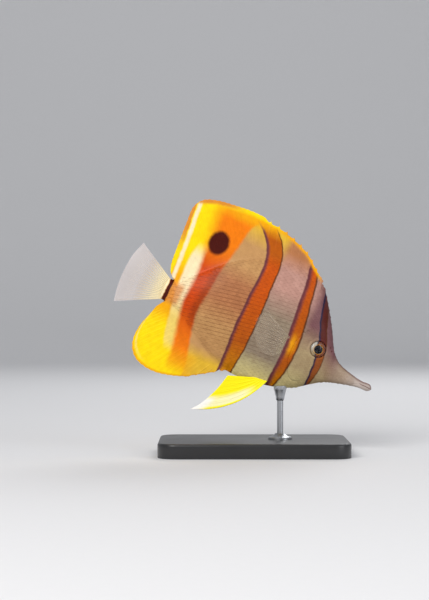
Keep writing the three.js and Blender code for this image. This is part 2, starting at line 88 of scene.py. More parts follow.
# Head details
EYE_AT = (88.2, 6.8)
NOSTRILS = [(95.6, 9.1), (94.1, 10.6)]
GILL_COVER = [
    (81.4, 15.6), (77.4, 11.6), (75.3, 5), (75.3, -2.5), (77.4, -9.5), (81.8, -14.4),
    (86.2, -13), (84.6, -7), (83.4, 1), (83.2, 9),
]
CHEEK_RIDGE = [(84.8, 14.5), (83.4, 8), (83, 0), (84.2, -7), (87.4, -12.2)]
MOUTH_CORNER = (117.4, -0.5)
MOUTH_TIP = (124.6, 0.15)
JAW_HINGE = (110.5, -3.4)
LATERAL_LINE = [(77, 15), (70, 25.5), (60, 33), (49, 35.6), (38, 33.2), (27, 26.4), (17, 17.6), (9, 10.8)]

# Fins, as margins seen from the side
FIN_BOW = 0.04
ROOT_SINK = 3.0
DORSAL_SPINES = 9
SPINE_ROOTS = (76.2, 38.9)
SPINE_MARGIN = [(73.4, 43.2), (68.6, 46.8), (60.5, 52.8), (51, 56.4), (40.5, 58.8), (30.3, 59.3)]
SPINE_NOTCH = 1.7
DORSAL_ROOTS = (38.9, 3.2)
DORSAL_MARGIN = [
    (30.3, 59.3), (22, 59.1), (12, 57.8), (3, 56.1), (-4, 53),
    (-7.3, 47.6), (-7, 38), (-5.8, 24), (-4.6, 13.5), (-3, 9.4),
]
ANAL_SPINES = 3
ANAL_SPINE_ROOTS = (47.6, 39.7)
ANAL_SPINE_MARGIN = [(43, -29.4), (37, -33.8), (31, -37.8)]
ANAL_ROOTS = (39.7, 3)
ANAL_MARGIN = [
    (31, -37.8), (22, -41.4), (14, -43.4), (7, -43.4), (0.6, -41.4), (-3.8, -37),
    (-5.6, -31), (-5.2, -23.5), (-3.2, -16), (-1.8, -10.6),
]
TAIL_ROOT = (1.5, 4.6)
TAIL_MARGIN = [(-23.6, 17.6), (-26, 9.2), (-26.7, 0), (-26.2, -9.6), (-24.4, -18.6)]
TAIL_SWEEP = 3.2
PECTORAL_ROOT = ((74.4, 5.2), (71.8, -2.2))
PECTORAL_MARGIN = [(54.6, 13.6), (51.4, 11), (50.6, 6), (52.4, 0.4), (56.4, -4.8), (61.4, -7.8), (66.4, -7.6)]
PECTORAL_FLARE = math.radians(24)
PELVIC_LEVEL = 2.1
PELVIC_ROOTS = (71, 64.6)
PELVICS = {
    "right": {
        "sign": -1, "bow": 0.24, "flare": math.radians(9),
        "margin": [(39.6, -52.8), (42.8, -48.6), (45.4, -43.4), (48, -36.4), (50, -27.6)],
    },
    "left": {
        "sign": 1, "bow": 0.22, "flare": math.radians(13),
        "margin": [(42.6, -51.4), (45.4, -47.2), (47.6, -42.2), (49.6, -35.6), (51.4, -27.8)],
    },
}

# Markings, as edges seen from the side: each a list of (level, distance forward), with half the width over
# which it fades and the widths of its darker front and rear edges
BAND_EYE = {
    "soft": 0.4, "dark": (0.8, 1.6),
    "front": [
        (-14, 91.6), (-11, 92.4), (-4.9, 93.5), (2.3, 93.3), (10.9, 91.6), (18.6, 88.1), (24, 86), (28, 84.6),
        (37, 82),
    ],
    "rear": [
        (-14, 89.9), (-11, 89.7), (-5.3, 89.3), (0.4, 88.7), (11.4, 86.2), (16.5, 84.2), (20, 82.8),
        (26.5, 80.7), (37, 78.4),
    ],
}
BAND_GILL = {
    "soft": 0.45, "dark": (1.4, 3.4),
    "front": [
        (-22.6, 75.2), (-13.8, 77.2), (-6.9, 77.9), (2.2, 77.9), (10.8, 77), (19.2, 75.6), (27.3, 74.1),
        (35.4, 72.8), (45, 70.4),
    ],
    "rear": [
        (-22.6, 70.8), (-15.9, 70.6), (-8.3, 70.7), (0.8, 70.5), (9.6, 69.3), (18.5, 68.3), (27.4, 67.3),
        (36.2, 66.5), (45, 64.6),
    ],
}
BAND_FLANK = {
    "soft": 0.45, "dark": (1.2, 2.8),
    "front": [
        (-28, 51.2), (-20.9, 51.3), (-12.6, 52), (-4.9, 52), (4.4, 52), (13.5, 51.7), (22.6, 51.1), (30, 50.7),
        (36, 50.6), (42, 49.6), (48, 47.1), (51.7, 44.6), (56, 40),
    ],
    "rear": [
        (-28, 43.4), (-21.1, 43), (-12, 42.3), (-1.9, 41.3), (7.7, 41.3), (18, 41.2), (27.6, 41.5), (38, 40.9),
        (46, 37.9), (52.3, 32.6), (56, 27.6),
    ],
}
BAND_REAR = {
    "soft": 1.1, "dark": (6, 1),
    "front": [
        (-36, 27), (-30.7, 26), (-26.5, 25), (-18, 22.6), (-10, 20.6), (-2, 19.6), (6, 20.4), (14, 21),
        (22, 21.6), (30, 23.2), (38, 24.6), (44, 25.4), (50, 26.5), (58, 31),
    ],
    "rear": [
        (-36, 16.5), (-28.2, 15.8), (-18, 13.6), (-10, 11.6), (-2, 10), (6, 10.2), (14, 10.4), (22, 9.8),
        (30, 8.4), (38, 7.6), (44, 6.6), (50, 6), (58, 5.6),
    ],
}
PALE_STRIP = [
    (-32, 12.6), (-26, 10), (-18, 7.6), (-10, 6.3), (-2, 4.6), (6, 3.6), (14, 3.2), (22, 2.9), (30, 4.2),
    (36, 6),
]
REAR_LINE = [(4, -0.6), (7, -1), (20, -2.1), (34, -3.4), (46.5, -4.9), (56, -5.6)]
EYE_SPOT = (13.9, 35.5)
EYE_SPOT_RADII = (5.8, 6.9)

# Lines as lists of (distance forward, level)
DORSAL_EDGE = [(-10, 52), *DORSAL_MARGIN[4::-1], *SPINE_MARGIN[4:0:-1], (74, 42.8)]
ANAL_EDGE = [(-6, -33), *ANAL_MARGIN[5::-1], ANAL_SPINE_MARGIN[0], (50, -26)]
ANAL_YELLOW = [(-6, -26), (3, -26), (12, -28.5), (22, -28), (32, -26.5), (40, -25.6), (48, -26.4), (60, -40)]

# How far scales run up the fins, as (distance forward, height over the body's outline)
DORSAL_COVER = [(-8, 4), (3, 10), (12, 21), (24, 19), (36, 13), (50, 9), (62, 6), (74, 1.5)]
ANAL_COVER = [(-8, 3), (3, 6), (12, 14), (24, 11), (36, 6), (48, 2)]


def srgb(red, green, blue):
    """A colour from 0 to 255 a channel, as the linear values that Blender holds."""
    shares = [channel / 255 for channel in (red, green, blue)]
    return tuple(c / 12.92 if c <= 0.04045 else ((c + 0.055) / 1.055) ** 2.4 for c in shares)


# Shape maths


def profile(points):
    """A smooth curve through (x, value) pairs, its slope at each point taken across the neighbours."""
    xs, ys = np.array(points, float).T
    slopes = np.gradient(ys, xs)
    slopes[1:-1] = (ys[2:] - ys[:-2]) / (xs[2:] - xs[:-2])

    def at(x):
        x = np.clip(x, xs[0], xs[-1])
        i = np.clip(np.searchsorted(xs, x, side="right") - 1, 0, len(xs) - 2)
        span = xs[i + 1] - xs[i]
        t = (x - xs[i]) / span
        rise = t * t * (3 - 2 * t)
        bend = t * (1 - t) ** 2 * slopes[i] * span + t * t * (t - 1) * slopes[i + 1] * span
        return ys[i] + (ys[i + 1] - ys[i]) * rise + bend

    return at


def rounded(points, closed=False, steps=24):
    """A fine polyline through points, by a Catmull-Rom curve with centripetal spacing."""
    p = np.array(points, float)
    ends = (p[-1:], p[:2]) if closed else (2 * p[:1] - p[1:2], 2 * p[-1:] - p[-2:-1])
    q = np.vstack([ends[0], p, ends[1]])
    t = np.linspace(0, 1, steps, endpoint=False)[:, None]
    runs = []
    for i in range(len(q) - 3):
        a, b, c, d = q[i : i + 4]
        ab, bc, cd = (np.linalg.norm(v) ** 0.5 for v in (b - a, c - b, d - c))
        start = (b - a) / ab - (c - a) / (ab + bc) + (c - b) / bc
        end = (c - b) / bc - (d - b) / (bc + cd) + (d - c) / cd
        start, end = start * bc, end * bc
        runs.append(
            (2 * t**3 - 3 * t**2 + 1) * b + (t**3 - 2 * t**2 + t) * start
            + (3 * t**2 - 2 * t**3) * c + (t**3 - t**2) * end
        )
    runs.append(q[-2:-1])
    return np.vstack(runs)


def along_line(points):
    """Points along a rounded line by the share of its length, 0 to 1."""
    line = rounded(points)
    run = np.concatenate([[0], np.cumsum(np.linalg.norm(np.diff(line, axis=0), axis=1))])
    run /= run[-1]
    return lambda share: np.stack([np.interp(share, run, line[:, k]) for k in (0, 1)], -1)


def smooth(value, low, high):
    """0 below low and 1 above high, with a smooth rise between."""
    t = np.clip((value - low) / (high - low), 0, 1)
    return t * t * (3 - 2 * t)


def hump(value, width):
    return np.exp(-((value / width) ** 2))


def ridge(away, height, width):
    """The height of a rounded ridge, or groove where it is negative, by the distance from its middle."""
    return height * hump(away, width)


def distance_to(line, s, h):
    """The least distance from each point to a polyline."""
    flat = np.stack([s, h], -1).reshape(-1, 2)
    best = np.full(len(flat), 1e9)
    for a, b in zip(line[:-1], line[1:]):
        step = b - a
        share = np.clip(((flat - a) @ step) / max(step @ step, 1e-9), 0, 1)
        best = np.minimum(best, np.linalg.norm(flat - a - share[:, None] * step, axis=1))
    return best.reshape(np.shape(s))


back = profile(BACK)
belly = profile(BELLY)
half_width = profile(HALF_WIDTH)
widest_level = profile(WIDEST_LEVEL)
slab = profile(SLAB)
COVER = rounded(GILL_COVER, closed=True, steps=6)
COVER_FREE_EDGE = COVER[: len(COVER) * 6 // 10]
PORES = rounded(LATERAL_LINE, steps=5)


def body_side(s, h):
    """Half the body's thickness at a point seen from the side, and 0 outside its outline."""
    level = widest_level(s)
    reach = np.where(h > level, back(s) - level, level - belly(s))
    t = np.clip(np.abs(h - level) / reach, 0, 1)
    inside = (s >= TAIL_END) & (s <= SNOUT_END)
    return np.where(inside, half_width(s) * (1 - t * t) ** slab(s), 0.0)


# Thickness of the fins of the middle plane, and where their roots fade into the body along the fish
FIN_EDGE_HALF = 0.13
FIN_BASE_HALF = 1.25
FIN_TAPER = 7.5
ROOTS_REAR = (1.5, 5)
DORSAL_ROOT_FRONT = (73, 77)
ANAL_ROOT_FRONT = (46, 50)
FAIRING = 2.5
PORE_RIDGE = (0.09, 0.45)


def blade(out):
    """Half the thickness of a fin of the middle plane, by the distance out from the body's outline."""
    return (FIN_EDGE_HALF + FIN_BASE_HALF * np.exp(-np.maximum(out, -4) / FIN_TAPER)) * smooth(out, -16, -1)


def fin_base(s, h):
    """How thick the fins' roots make the body near its top and bottom outline."""
    dorsal = (1 - smooth(s, *DORSAL_ROOT_FRONT)) * blade(h - back(s))
    anal = (1 - smooth(s, *ANAL_ROOT_FRONT)) * blade(belly(s) - h)
    return smooth(s, *ROOTS_REAR) * np.where(h > widest_level(s), dorsal, anal)


def faired(s, h, root):
    """Body and fin root as one rounded surface: half the thickness of both together."""
    return (body_side(s, h) ** FAIRING + root**FAIRING) ** (1 / FAIRING)


def flank(s, h):
    """Half the skin's thickness at a point seen from the side, with the fins' roots and surface details."""
    level = widest_level(s)
    reach = np.where(h > level, back(s) - level, level - belly(s))
    crest = np.sqrt(np.clip(1 - ((h - level) / reach) ** 2, 0, 1))
    details = head_relief(s, h) * (s > 60) + snout_relief(s, h) * (s > 105)
    details = details + ridge(distance_to(PORES, s, h), *PORE_RIDGE)
    return faired(s, h, fin_base(s, h)) + details * smooth(crest, 0.02, 0.2)


def to_model(s, y, h):
    """Points of the fish's own frame, in millimetres, as points of the model, in metres."""
    c, n = math.cos(PITCH), math.sin(PITCH)
    x = FISH_AT[0] + s * c + h * n
    z = FISH_AT[2] - s * n + h * c
    return np.stack([x, y + FISH_AT[1], z], -1) * MM


# Modelling helpers

SIDES = (("left", 1), ("right", -1))


def pick_none():
    if bpy.context.object and bpy.context.object.mode != "OBJECT":
        bpy.ops.object.mode_set(mode="OBJECT")
    bpy.ops.object.select_all(action="DESELECT")


def add_object(name, data):
    """Adds an object to the scene, as the active one and the only one picked."""
    made = bpy.data.objects.new(name, data)
    bpy.context.scene.collection.objects.link(made)
    pick_none()
    made.select_set(True)
    bpy.context.view_layer.objects.active = made
    return made


def mesh_from(name, points, faces=()):
    """A mesh from arrays: thousands of like faces at once, or without faces an open line to spin or extrude."""
    edges = [] if len(faces) else [(i, i + 1) for i in range(len(points) - 1)]
    mesh = bpy.data.meshes.new(name)
    mesh.from_pydata(np.asarray(points, float).tolist(), edges, np.asarray(faces, int).tolist())
    return add_object(name, mesh)


def edit_all(*steps):
    """Runs edit mode steps on the whole of the active mesh."""
    bpy.ops.object.mode_set(mode="EDIT")
    bpy.ops.mesh.select_all(action="SELECT")
    for step in steps:
        step()
    bpy.ops.object.mode_set(mode="OBJECT")


def point_outwards():
    bpy.ops.mesh.normals_make_consistent(inside=False)


def tidy_mesh(merge=2e-6):
    edit_all(lambda: bpy.ops.mesh.remove_doubles(threshold=merge), point_outwards)


def soften(degrees):
    """Shades the active mesh smooth, except over edges that turn by more than an angle."""
    bpy.ops.object.shade_smooth_by_angle(angle=math.radians(degrees))


def named(name):
    made = bpy.context.object
    made.name = name
    made.data.name = name
    return made


def places(mesh):
    flat = np.empty(len(mesh.vertices) * 3, np.float32)
    mesh.vertices.foreach_get("co", flat)
    return flat.reshape(-1, 3)


def put_places(mesh, points):
    mesh.vertices.foreach_set("co", np.ascontiguousarray(points, np.float32).ravel())
    mesh.update()


def shaped_grid(name, columns, rows, shape, sharp=60):
    """A flat grid bent into shape: shape gets the shares across and along and gives points in metres."""
    pick_none()
    bpy.ops.mesh.primitive_grid_add(x_subdivisions=columns, y_subdivisions=rows, size=2, calc_uvs=True)
    made = named(name)
    made.data.uv_layers[0].name = UNWRAP
    flat = places(made.data)
    put_places(made.data, shape((flat[:, 0] + 1) / 2, (flat[:, 1] + 1) / 2))
    tidy_mesh()
    soften(sharp)
    return made


def at_ends(share):
    """Where a share from 0 to 1 is at either of its ends."""
    return (share < 1e-6) | (share > 1 - 1e-6)


def finish_piece(made, slot, material, *nodes):
    """Gives a piece its material, and seats it on the frame in place of its CAD nodes; the slot it is given is
    not used.
    """
    made.data.materials.clear()
    made.data.materials.append(material)
    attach(made, BODY)
    if nodes:
        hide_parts(*nodes)
    return made


# Material helpers

NODES_A_ROW = 24


def add_node(tree, kind, inputs=None, **settings):
    """Adds a shader node with its settings, and gives its inputs their numbers, colours or fields."""
    node = tree.nodes.new(kind)
    row, column = divmod(len(tree.nodes), NODES_A_ROW)
    node.location = (180 * column, -220 * row)
    for key, value in settings.items():
        setattr(node, key, value)
    for key, value in (inputs or {}).items():
        socket = node.inputs[key]
        if isinstance(value, Field):
            tree.links.new(value.socket, socket)
        else:
            socket.default_value = (*value, 1) if socket.type == "RGBA" and len(value) == 3 else value
    return node


class Field:
    """What varies over a surface, such as a share, a place or a colour, held as a shader's socket.

    Fields are added, multiplied, stepped and mixed as numbers are, and each such step adds its node.
    """

    def __init__(self, socket):
        self.socket = socket
        self.tree = socket.id_data

    def then(self, kind, inputs=None, output=0, **settings):
        """One output of a new node, as a field."""
        return Field(add_node(self.tree, kind, inputs, **settings).outputs[output])

    def math(self, operation, *others):
        return self.then("ShaderNodeMath", dict(enumerate((self, *others))), operation=operation)

    def __add__(self, other):
        return self.math("ADD", other)

    def __sub__(self, other):
        return self.math("SUBTRACT", other)

    def __mul__(self, other):
        return self.math("MULTIPLY", other)

    def __truediv__(self, other):
        return self.math("DIVIDE", other)

    def __abs__(self):
        return self.math("ABSOLUTE")

    def step(self, low, high):
        """0 below low and 1 above high, or the other way round where low is the larger."""
        inputs = {"Value": self, "From Min": min(low, high), "From Max": max(low, high)}
        inputs["To Min"], inputs["To Max"] = (1.0, 0.0) if low > high else (0.0, 1.0)
        return self.then("ShaderNodeMapRange", inputs, interpolation_type="SMOOTHSTEP")

    def between(self, low, high):
        """The range from 0 to 1 fitted between two values."""
        return self.then("ShaderNodeMapRange", {"Value": self, "To Min": low, "To Max": high})

    def mix(self, low, high, blend="MIX"):
        """The colour low where the share is 0, and high where it is 1."""
        return self.then("ShaderNodeMix", {0: self, 6: low, 7: high}, 2, data_type="RGBA", blend_type=blend)

    def ramp(self, *stops):
        """A colour by level: stops are (level from 0 to 1, colour)."""
        node = add_node(self.tree, "ShaderNodeValToRGB", {"Fac": self})
        elements = node.color_ramp.elements
        for element, (level, colour) in zip((elements[0], elements[1]), (stops[0], stops[-1])):
            element.position = level
            element.color = (*colour, 1)
        for level, colour in stops[1:-1]:
            elements.new(level).color = (*colour, 1)
        return Field(node.outputs[0])

    def noise(self, scale, detail=2.0, roughness=0.5, output="Fac"):
        inputs = {"Vector": self, "Scale": scale, "Detail": detail, "Roughness": roughness}
        return self.then("ShaderNodeTexNoise", inputs, output)

    def bump(self, strength, distance=0.1 * MM):
        return self.then("ShaderNodeBump", {"Height": self, "Strength": strength, "Distance": distance})

    def axes(self):
        """The x, y and z of a place."""
        return [Field(out) for out in add_node(self.tree, "ShaderNodeSeparateXYZ", {0: self}).outputs]


def object_space(tree):
    return Field(add_node(tree, "ShaderNodeTexCoord").outputs["Object"])


def fish_space(tree):
    """Object coordinates turned into the fish's own frame in millimetres."""
    space = object_space(tree)
    shift = -(Matrix.Rotation(-PITCH, 3, "Y") @ Vector(FISH_AT))
    inputs = {"Vector": space, "Location": shift, "Rotation": (0, -PITCH, 0), "Scale": (1 / MM, 1 / MM, 1 / MM)}
    return space.then("ShaderNodeMapping", inputs, vector_type="POINT")


LEVELS = (-60.0, 70.0)
REACHES = (-30.0, 130.0)


def drawn(value, points, domain, span):
    """A smooth line drawn through points, read at a value."""
    low, high = domain
    rise = span[1] - span[0]
    node = add_node(value.tree, "ShaderNodeFloatCurve", {"Value": (value - low) / (high - low)})
    curve = node.mapping.curves[0]
    ordered = sorted(points)
    at = np.linspace(ordered[0][0], ordered[-1][0], 25)
    knots = list(zip((at - low) / (high - low), (profile(ordered)(at) - span[0]) / rise))
    curve.points[0].location, curve.points[1].location = (0.0, knots[0][1]), (1.0, knots[-1][1])
    for x, y in knots:
        curve.points.new(x, y)
    for point in curve.points:
        point.handle_type = "VECTOR"
    node.mapping.update()
    return Field(node.outputs[0]) * rise + span[0]


def edge_at(h, points):
    """How far forward an edge lies at a level."""
    return drawn(h, points, LEVELS, REACHES)


def level_at(s, points):
    """How high a line lies at a distance forward."""
    return drawn(s, points, REACHES, LEVELS)


SURFACE_SOCKETS = {
    "coat": "Coat Weight", "coat_roughness": "Coat Roughness", "metallic": "Metallic", "alpha": "Alpha",
    "specular": "Specular IOR Level", "normal": "Normal",
}


def surface(tree, colour, roughness, **sockets):
    """The surface shader of a material, with its output."""
    inputs = {"Base Color": colour, "Roughness": roughness}
    inputs.update({SURFACE_SOCKETS[key]: value for key, value in sockets.items()})
    shader = add_node(tree, "ShaderNodeBsdfPrincipled", inputs)
    add_node(tree, "ShaderNodeOutputMaterial", {"Surface": Field(shader.outputs[0])})


def new_material(name):
    made = bpy.data.materials.new(name)
    made.use_nodes = True
    made.node_tree.nodes.clear()
    return made, made.node_tree


# Markings


def oval(s, h, at, radii, outer, inner):
    """1 inside an oval and 0 outside it, by shares of its radii."""
    across, up = (s - at[0]) / radii[0], (h - at[1]) / radii[1]
    return (across * across + up * up).math("SQRT").step(outer, inner)


def paint_ground(s, h, level, tone):
    """The silvery ground: warm tan behind, pinkish grey amidships and olive grey on the head."""
    tan, warm, ochre = tone.ground_tan, tone.ground_warm, tone.ground_ochre
    low, high, breast, head, nape = tone.ground_low, tone.ground_high, tone.breast, tone.head, tone.nape
    rear = level.ramp(
        (0.12, ochre), (0.2, tan), (0.34, tan), (0.48, warm),
        (0.6, warm), (0.7, tan), (0.82, tan), (0.94, ochre),
    )
    middle = level.ramp(
        (0.12, breast), (0.2, breast), (0.3, low), (0.52, low), (0.68, high), (0.78, high), (0.88, warm),
    )
    raised = (s - 86.0).math("MAXIMUM", 0.0) * 0.008 + level
    face = raised.ramp((0.2, breast), (0.34, head), (0.42, head), (0.57, nape), (0.8, nape))
    ground = s.step(46, 52).mix(rear, middle)
    ground = s.step(72, 80).mix(ground, face)
    ground = s.step(97, 105).mix(ground, tone.snout)
    return s.step(104, 120).mix(ground, tone.lips)


def paint_anal(s, h, tone, colour):
    """The yellow lower part of the anal fin."""
    lower = s.step(1, 18).mix(tone.yellow, tone.amber)
    lower = s.step(22, 34).mix(lower, tone.ground_ochre)
    return (level_at(s, ANAL_YELLOW) - h).step(-3.5, 3).mix(colour, lower)


def paint_rear(s, h, tone, ground):
    """The yellow behind the last band, with its pale strip and the white line inside the dorsal margin."""
    behind = (edge_at(h, BAND_REAR["rear"]) - s).step(-6.5, -4.5)
    yellow = h.step(26, 6).mix(tone.yellow, tone.amber)
    yellow = h.step(-8, -20).mix(yellow, tone.yellow)
    colour = behind.mix(ground, yellow)
    strip = behind * (s - edge_at(h, PALE_STRIP)).step(-0.9, 0.9) * h.step(33, 22) * h.step(-31, -24)
    colour = (strip * 0.95).mix(colour, h.step(4, -14).mix(tone.cream, tone.straw))
    stalk = behind * h.step(8, 3.5) * h.step(-8, -3.5) * s.step(9.5, 6)
    colour = (stalk * 0.8).mix(colour, tone.stalk)
    behind_line, dorsal = s - edge_at(h, REAR_LINE), h.step(6.5, 8)
    line = behind_line.step(-1.0, 0.1) * behind_line.step(2.3, 0.9) * dorsal * h.step(55, 50)
    colour = line.mix(colour, tone.cream)
    rim = behind_line.step(-0.7, -1.5) * dorsal
    return rim.mix(colour, h.step(20, 36).mix(tone.yellow, tone.rim))


def paint_margins(s, h, tone, colour):
    """Amber and yellow along the margin of the dorsal fin, and amber along that of the anal fin."""
    under = level_at(s, DORSAL_EDGE) - h
    dorsal = s.step(76, 68) * h.step(36, 42)
    reach = s.step(46, 30) * 4.3 + 4.2
    colour = ((under / reach).step(1.0, 0.3) * dorsal * s.step(12, 20)).mix(colour, tone.amber)
    edge = s.step(46, 36).mix(tone.amber, tone.yellow)
    colour = (under.step(3.4, 1.0) * dorsal * s.step(4, 12)).mix(colour, edge)
    dusty = under.step(3.2, 0.8) * s.step(22, 10) * s.step(-8, -5) * h.step(46, 50)
    colour = dusty.mix(colour, tone.rim)
    anal = (h - level_at(s, ANAL_EDGE)).step(1.6, 0.6) * h.step(-26, -30) * s.step(46, 40)
    return (anal * 0.6).mix(colour, tone.amber)


def paint_band(s, h, band, colour, fill, edges, rear_soft=None):
    """One crossband over what lies under it, with its darker front and rear edges."""
    soft = band["soft"]
    inside_front, inside_rear = edge_at(h, band["front"]) - s, s - edge_at(h, band["rear"])
    share = inside_front.step(-soft, soft) * (inside_rear / (rear_soft or soft)).step(-1, 1)
    front_width, rear_width = band["dark"]
    fill = inside_rear.step(rear_width, rear_width / 4).mix(fill, edges[1])
    fill = inside_front.step(front_width, front_width / 4).mix(fill, edges[0])
    return share.mix(colour, fill)


def paint_bands(s, h, level, tone, colour):
    """The four crossbands, from the rear forward, each over the last."""
    ochre, band, deep = tone.band_ochre, tone.band, tone.band_deep
    dark = (tone.band_dark, tone.band_shadow)
    fill = level.ramp(
        (0.0, tone.yellow), (0.06, tone.amber), (0.15, tone.orange), (0.36, tone.ember), (0.6, tone.ember),
        (0.74, tone.orange), (0.9, tone.orange), (0.96, tone.amber), (0.99, tone.yellow),
    )
    front = (h.step(-18, -4) * h.step(32, 16)).mix(fill, tone.russet)
    beside_spot = h.step(24, 38) * 4.0 + 1.8
    colour = paint_band(s, h, BAND_REAR, colour, fill, (front, fill), beside_spot)
    fill = level.ramp(
        (0.14, ochre), (0.32, band), (0.62, deep), (0.76, deep), (0.83, band), (0.9, band), (0.98, tone.amber),
    )
    colour = paint_band(s, h, BAND_FLANK, colour, fill, dark)
    fill = level.ramp((0.16, ochre), (0.3, band), (0.5, band), (0.85, deep))
    # Amber patch at the pectoral fin's root: partly the root's own yellow, partly a painted highlight.
    axil_yellow_and_highlight = oval(s, h, (73.6, 2.4), (3.8, 7.5), 1.2, 0.1)
    colour = paint_band(s, h, BAND_GILL, colour, (axil_yellow_and_highlight * 0.75).mix(fill, tone.amber), dark)
    colour = paint_margins(s, h, tone, colour)
    fill = (h.step(24, 36) * 0.3).mix(h.step(4, 9).mix(tone.rust, tone.maroon), tone.nape)
    return paint_band(s, h, BAND_EYE, colour, fill, (tone.band_dark, tone.eye_shadow))


def paint_details(s, y, h, tone, colour):
    """Eye-spot, nostrils, mouth line, the bar at the tail's root and the dark line down the forehead.

    The darkened nostril pits and mouth line are painted shade, and so is the dark line along the top of the
    forehead and snout. The bar at the tail's root is partly the fish's own dark bar and partly painted shade.
    """
    colour = oval(s, h, EYE_SPOT, EYE_SPOT_RADII, 1.16, 0.8).mix(colour, tone.spot)
    # Painted shade: each nostril pit darkened with maroon.
    for at in NOSTRILS:
        colour = oval(s, h, at, (0.42, 0.42), 1.1, 0.7).mix(colour, tone.maroon)
    # Painted shade: the mouth line darkened with maroon.
    mouth = abs(h + 0.15).step(0.3, 0.12) * s.step(116.6, 117.6)
    colour = (mouth * 0.75).mix(colour, tone.maroon)
    # The bar at the tail's root: partly the fish's own dark bar, partly painted shade where stalk meets tail
    # fin.
    stalk = h.step(7.5, 6) * h.step(-7.5, -6)
    colour = (stalk * s.step(-1.5, -0.9) * s.step(1.3, 0.6)).mix(colour, tone.spot)
    colour = (stalk * s.step(-1.0, -1.7)).mix(colour, tone.cream)
    # Painted shade: a dark maroon line along the top of the forehead and snout.
    forehead = abs(y).step(1.9, 0.8) * s.step(86, 92) * h.step(0, 1.2)
    return (forehead * 0.7).mix(colour, tone.maroon)


def markings(tone):
    """The fish's markings as one group, which skin, scales and fins share."""
    tree = bpy.data.node_groups.new("fish_markings", "ShaderNodeTree")
    tree.interface.new_socket("Colour", in_out="OUTPUT", socket_type="NodeSocketColor")
    space = fish_space(tree)
    wander = space.noise(0.35, 3.0, output="Color")
    wander = wander.then("ShaderNodeVectorMath", {0: wander, 1: (0.5, 0.5, 0.5)}, operation="SUBTRACT")
    inputs = {0: wander, 1: (1.1, 0, 1.1), 2: space}
    s, y, h = wander.then("ShaderNodeVectorMath", inputs, operation="MULTIPLY_ADD").axes()
    level = (h + 40.0) / 100.0
    colour = paint_ground(s, h, level, tone)
    colour = paint_anal(s, h, tone, colour)
    colour = paint_rear(s, h, tone, colour)
    colour = paint_bands(s, h, level, tone, colour)
    add_node(tree, "NodeGroupOutput", {0: paint_details(s, y, h, tone, colour)})
    return tree


def fin_share(tree):
    """A fin sheet's own map: the share across from front to rear, and the share out from root to margin."""
    across, round_margin, _ = Field(add_node(tree, "ShaderNodeUVMap", uv_map=UNWRAP).outputs[0]).axes()
    return across, abs(round_margin * 2.0 - 1.0) * -1.0 + 1.0


def paint_scales(space, tone, colour):
    """Darker rows along the flank, and each scale's dark rim and own tone."""
    rim, own, row = (space.then("ShaderNodeAttribute", output="Fac", attribute_name=key) for key in SCALE_MARKS)
    s, _, h = space.axes()
    rear = s.step(50, 42) * s.step(20, 27) * h.step(30, 12) * h.step(-18, -8) * 0.36
    middle = s.step(74, 66) * h.step(34, 16) * h.step(-22, -8) * 0.22
    rows = (row * (2 * math.pi)).math("COSINE").step(0.25, 1.0) * rear.math("MAXIMUM", middle)
    for share in (rows, rim.step(0.6, 1.0) * 0.3, own * 0.16):
        colour = share.mix(colour, tone.shadow, "MULTIPLY")
    return colour


def coat_material(name, scaled, margin_line):
    """Skin, scales and scaled fins: the markings under a wet gloss, with fine grain."""
    made, tree = new_material(name)
    tone, space = colours(), fish_space(tree)
    group = bpy.data.node_groups.get("fish_markings") or markings(tone)
    colour = Field(add_node(tree, "ShaderNodeGroup", node_tree=group).outputs[0])
    if margin_line:
        share, out = fin_share(tree)
        line = out.step(0.9, 0.925) * out.step(0.96, 0.94) * share.step(0.5, 0.7) * share.step(0.97, 0.9)
        colour = (line * margin_line).mix(colour, tone.cream)
        colour = (out.step(0.955, 0.98) * share.step(0.2, 0.4) * 0.5).mix(colour, tone.amber)
    colour = (space.noise(0.25, 4.0).step(0.3, 0.7) * 0.12).mix(colour, tone.shadow, "MULTIPLY")
    fine = space.noise(2.4, 3.0)
    colour = (fine.step(0.35, 0.75) * 0.1).mix(colour, (1, 1, 1), "SOFT_LIGHT")
    if scaled:
        colour = paint_scales(space, tone, colour)
    normal = space.noise(3.5, 4.0, 0.6).bump(0.25)
    surface(tree, colour, fine.between(0.32, 0.5), coat=0.06, coat_roughness=0.2, normal=normal, specular=0.12)
    return made


def coat(name, scaled=False, margin_line=0.0):
    return bpy.data.materials.get(name) or coat_material(name, scaled, margin_line)


def fin_material(name, colour_of, roughness, alpha):
    """A plain fin membrane or ray, its colour by how far forward a point lies."""
    made, tree = new_material(name)
    space = fish_space(tree)
    normal = space.noise(2.0, 3.0).bump(0.2)
    colour = colour_of(space.axes()[0])
    surface(tree, colour, roughness, alpha=alpha, normal=normal, coat=0.06, coat_roughness=0.2, specular=0.2)
    return made


# Settings


def colour_setting(name, description, value):
    look = {"subtype": "COLOR", "size": 3, "min": 0, "max": 1, "default": srgb(*value)}
    return FloatVectorProperty(name=name, description=description, **look)


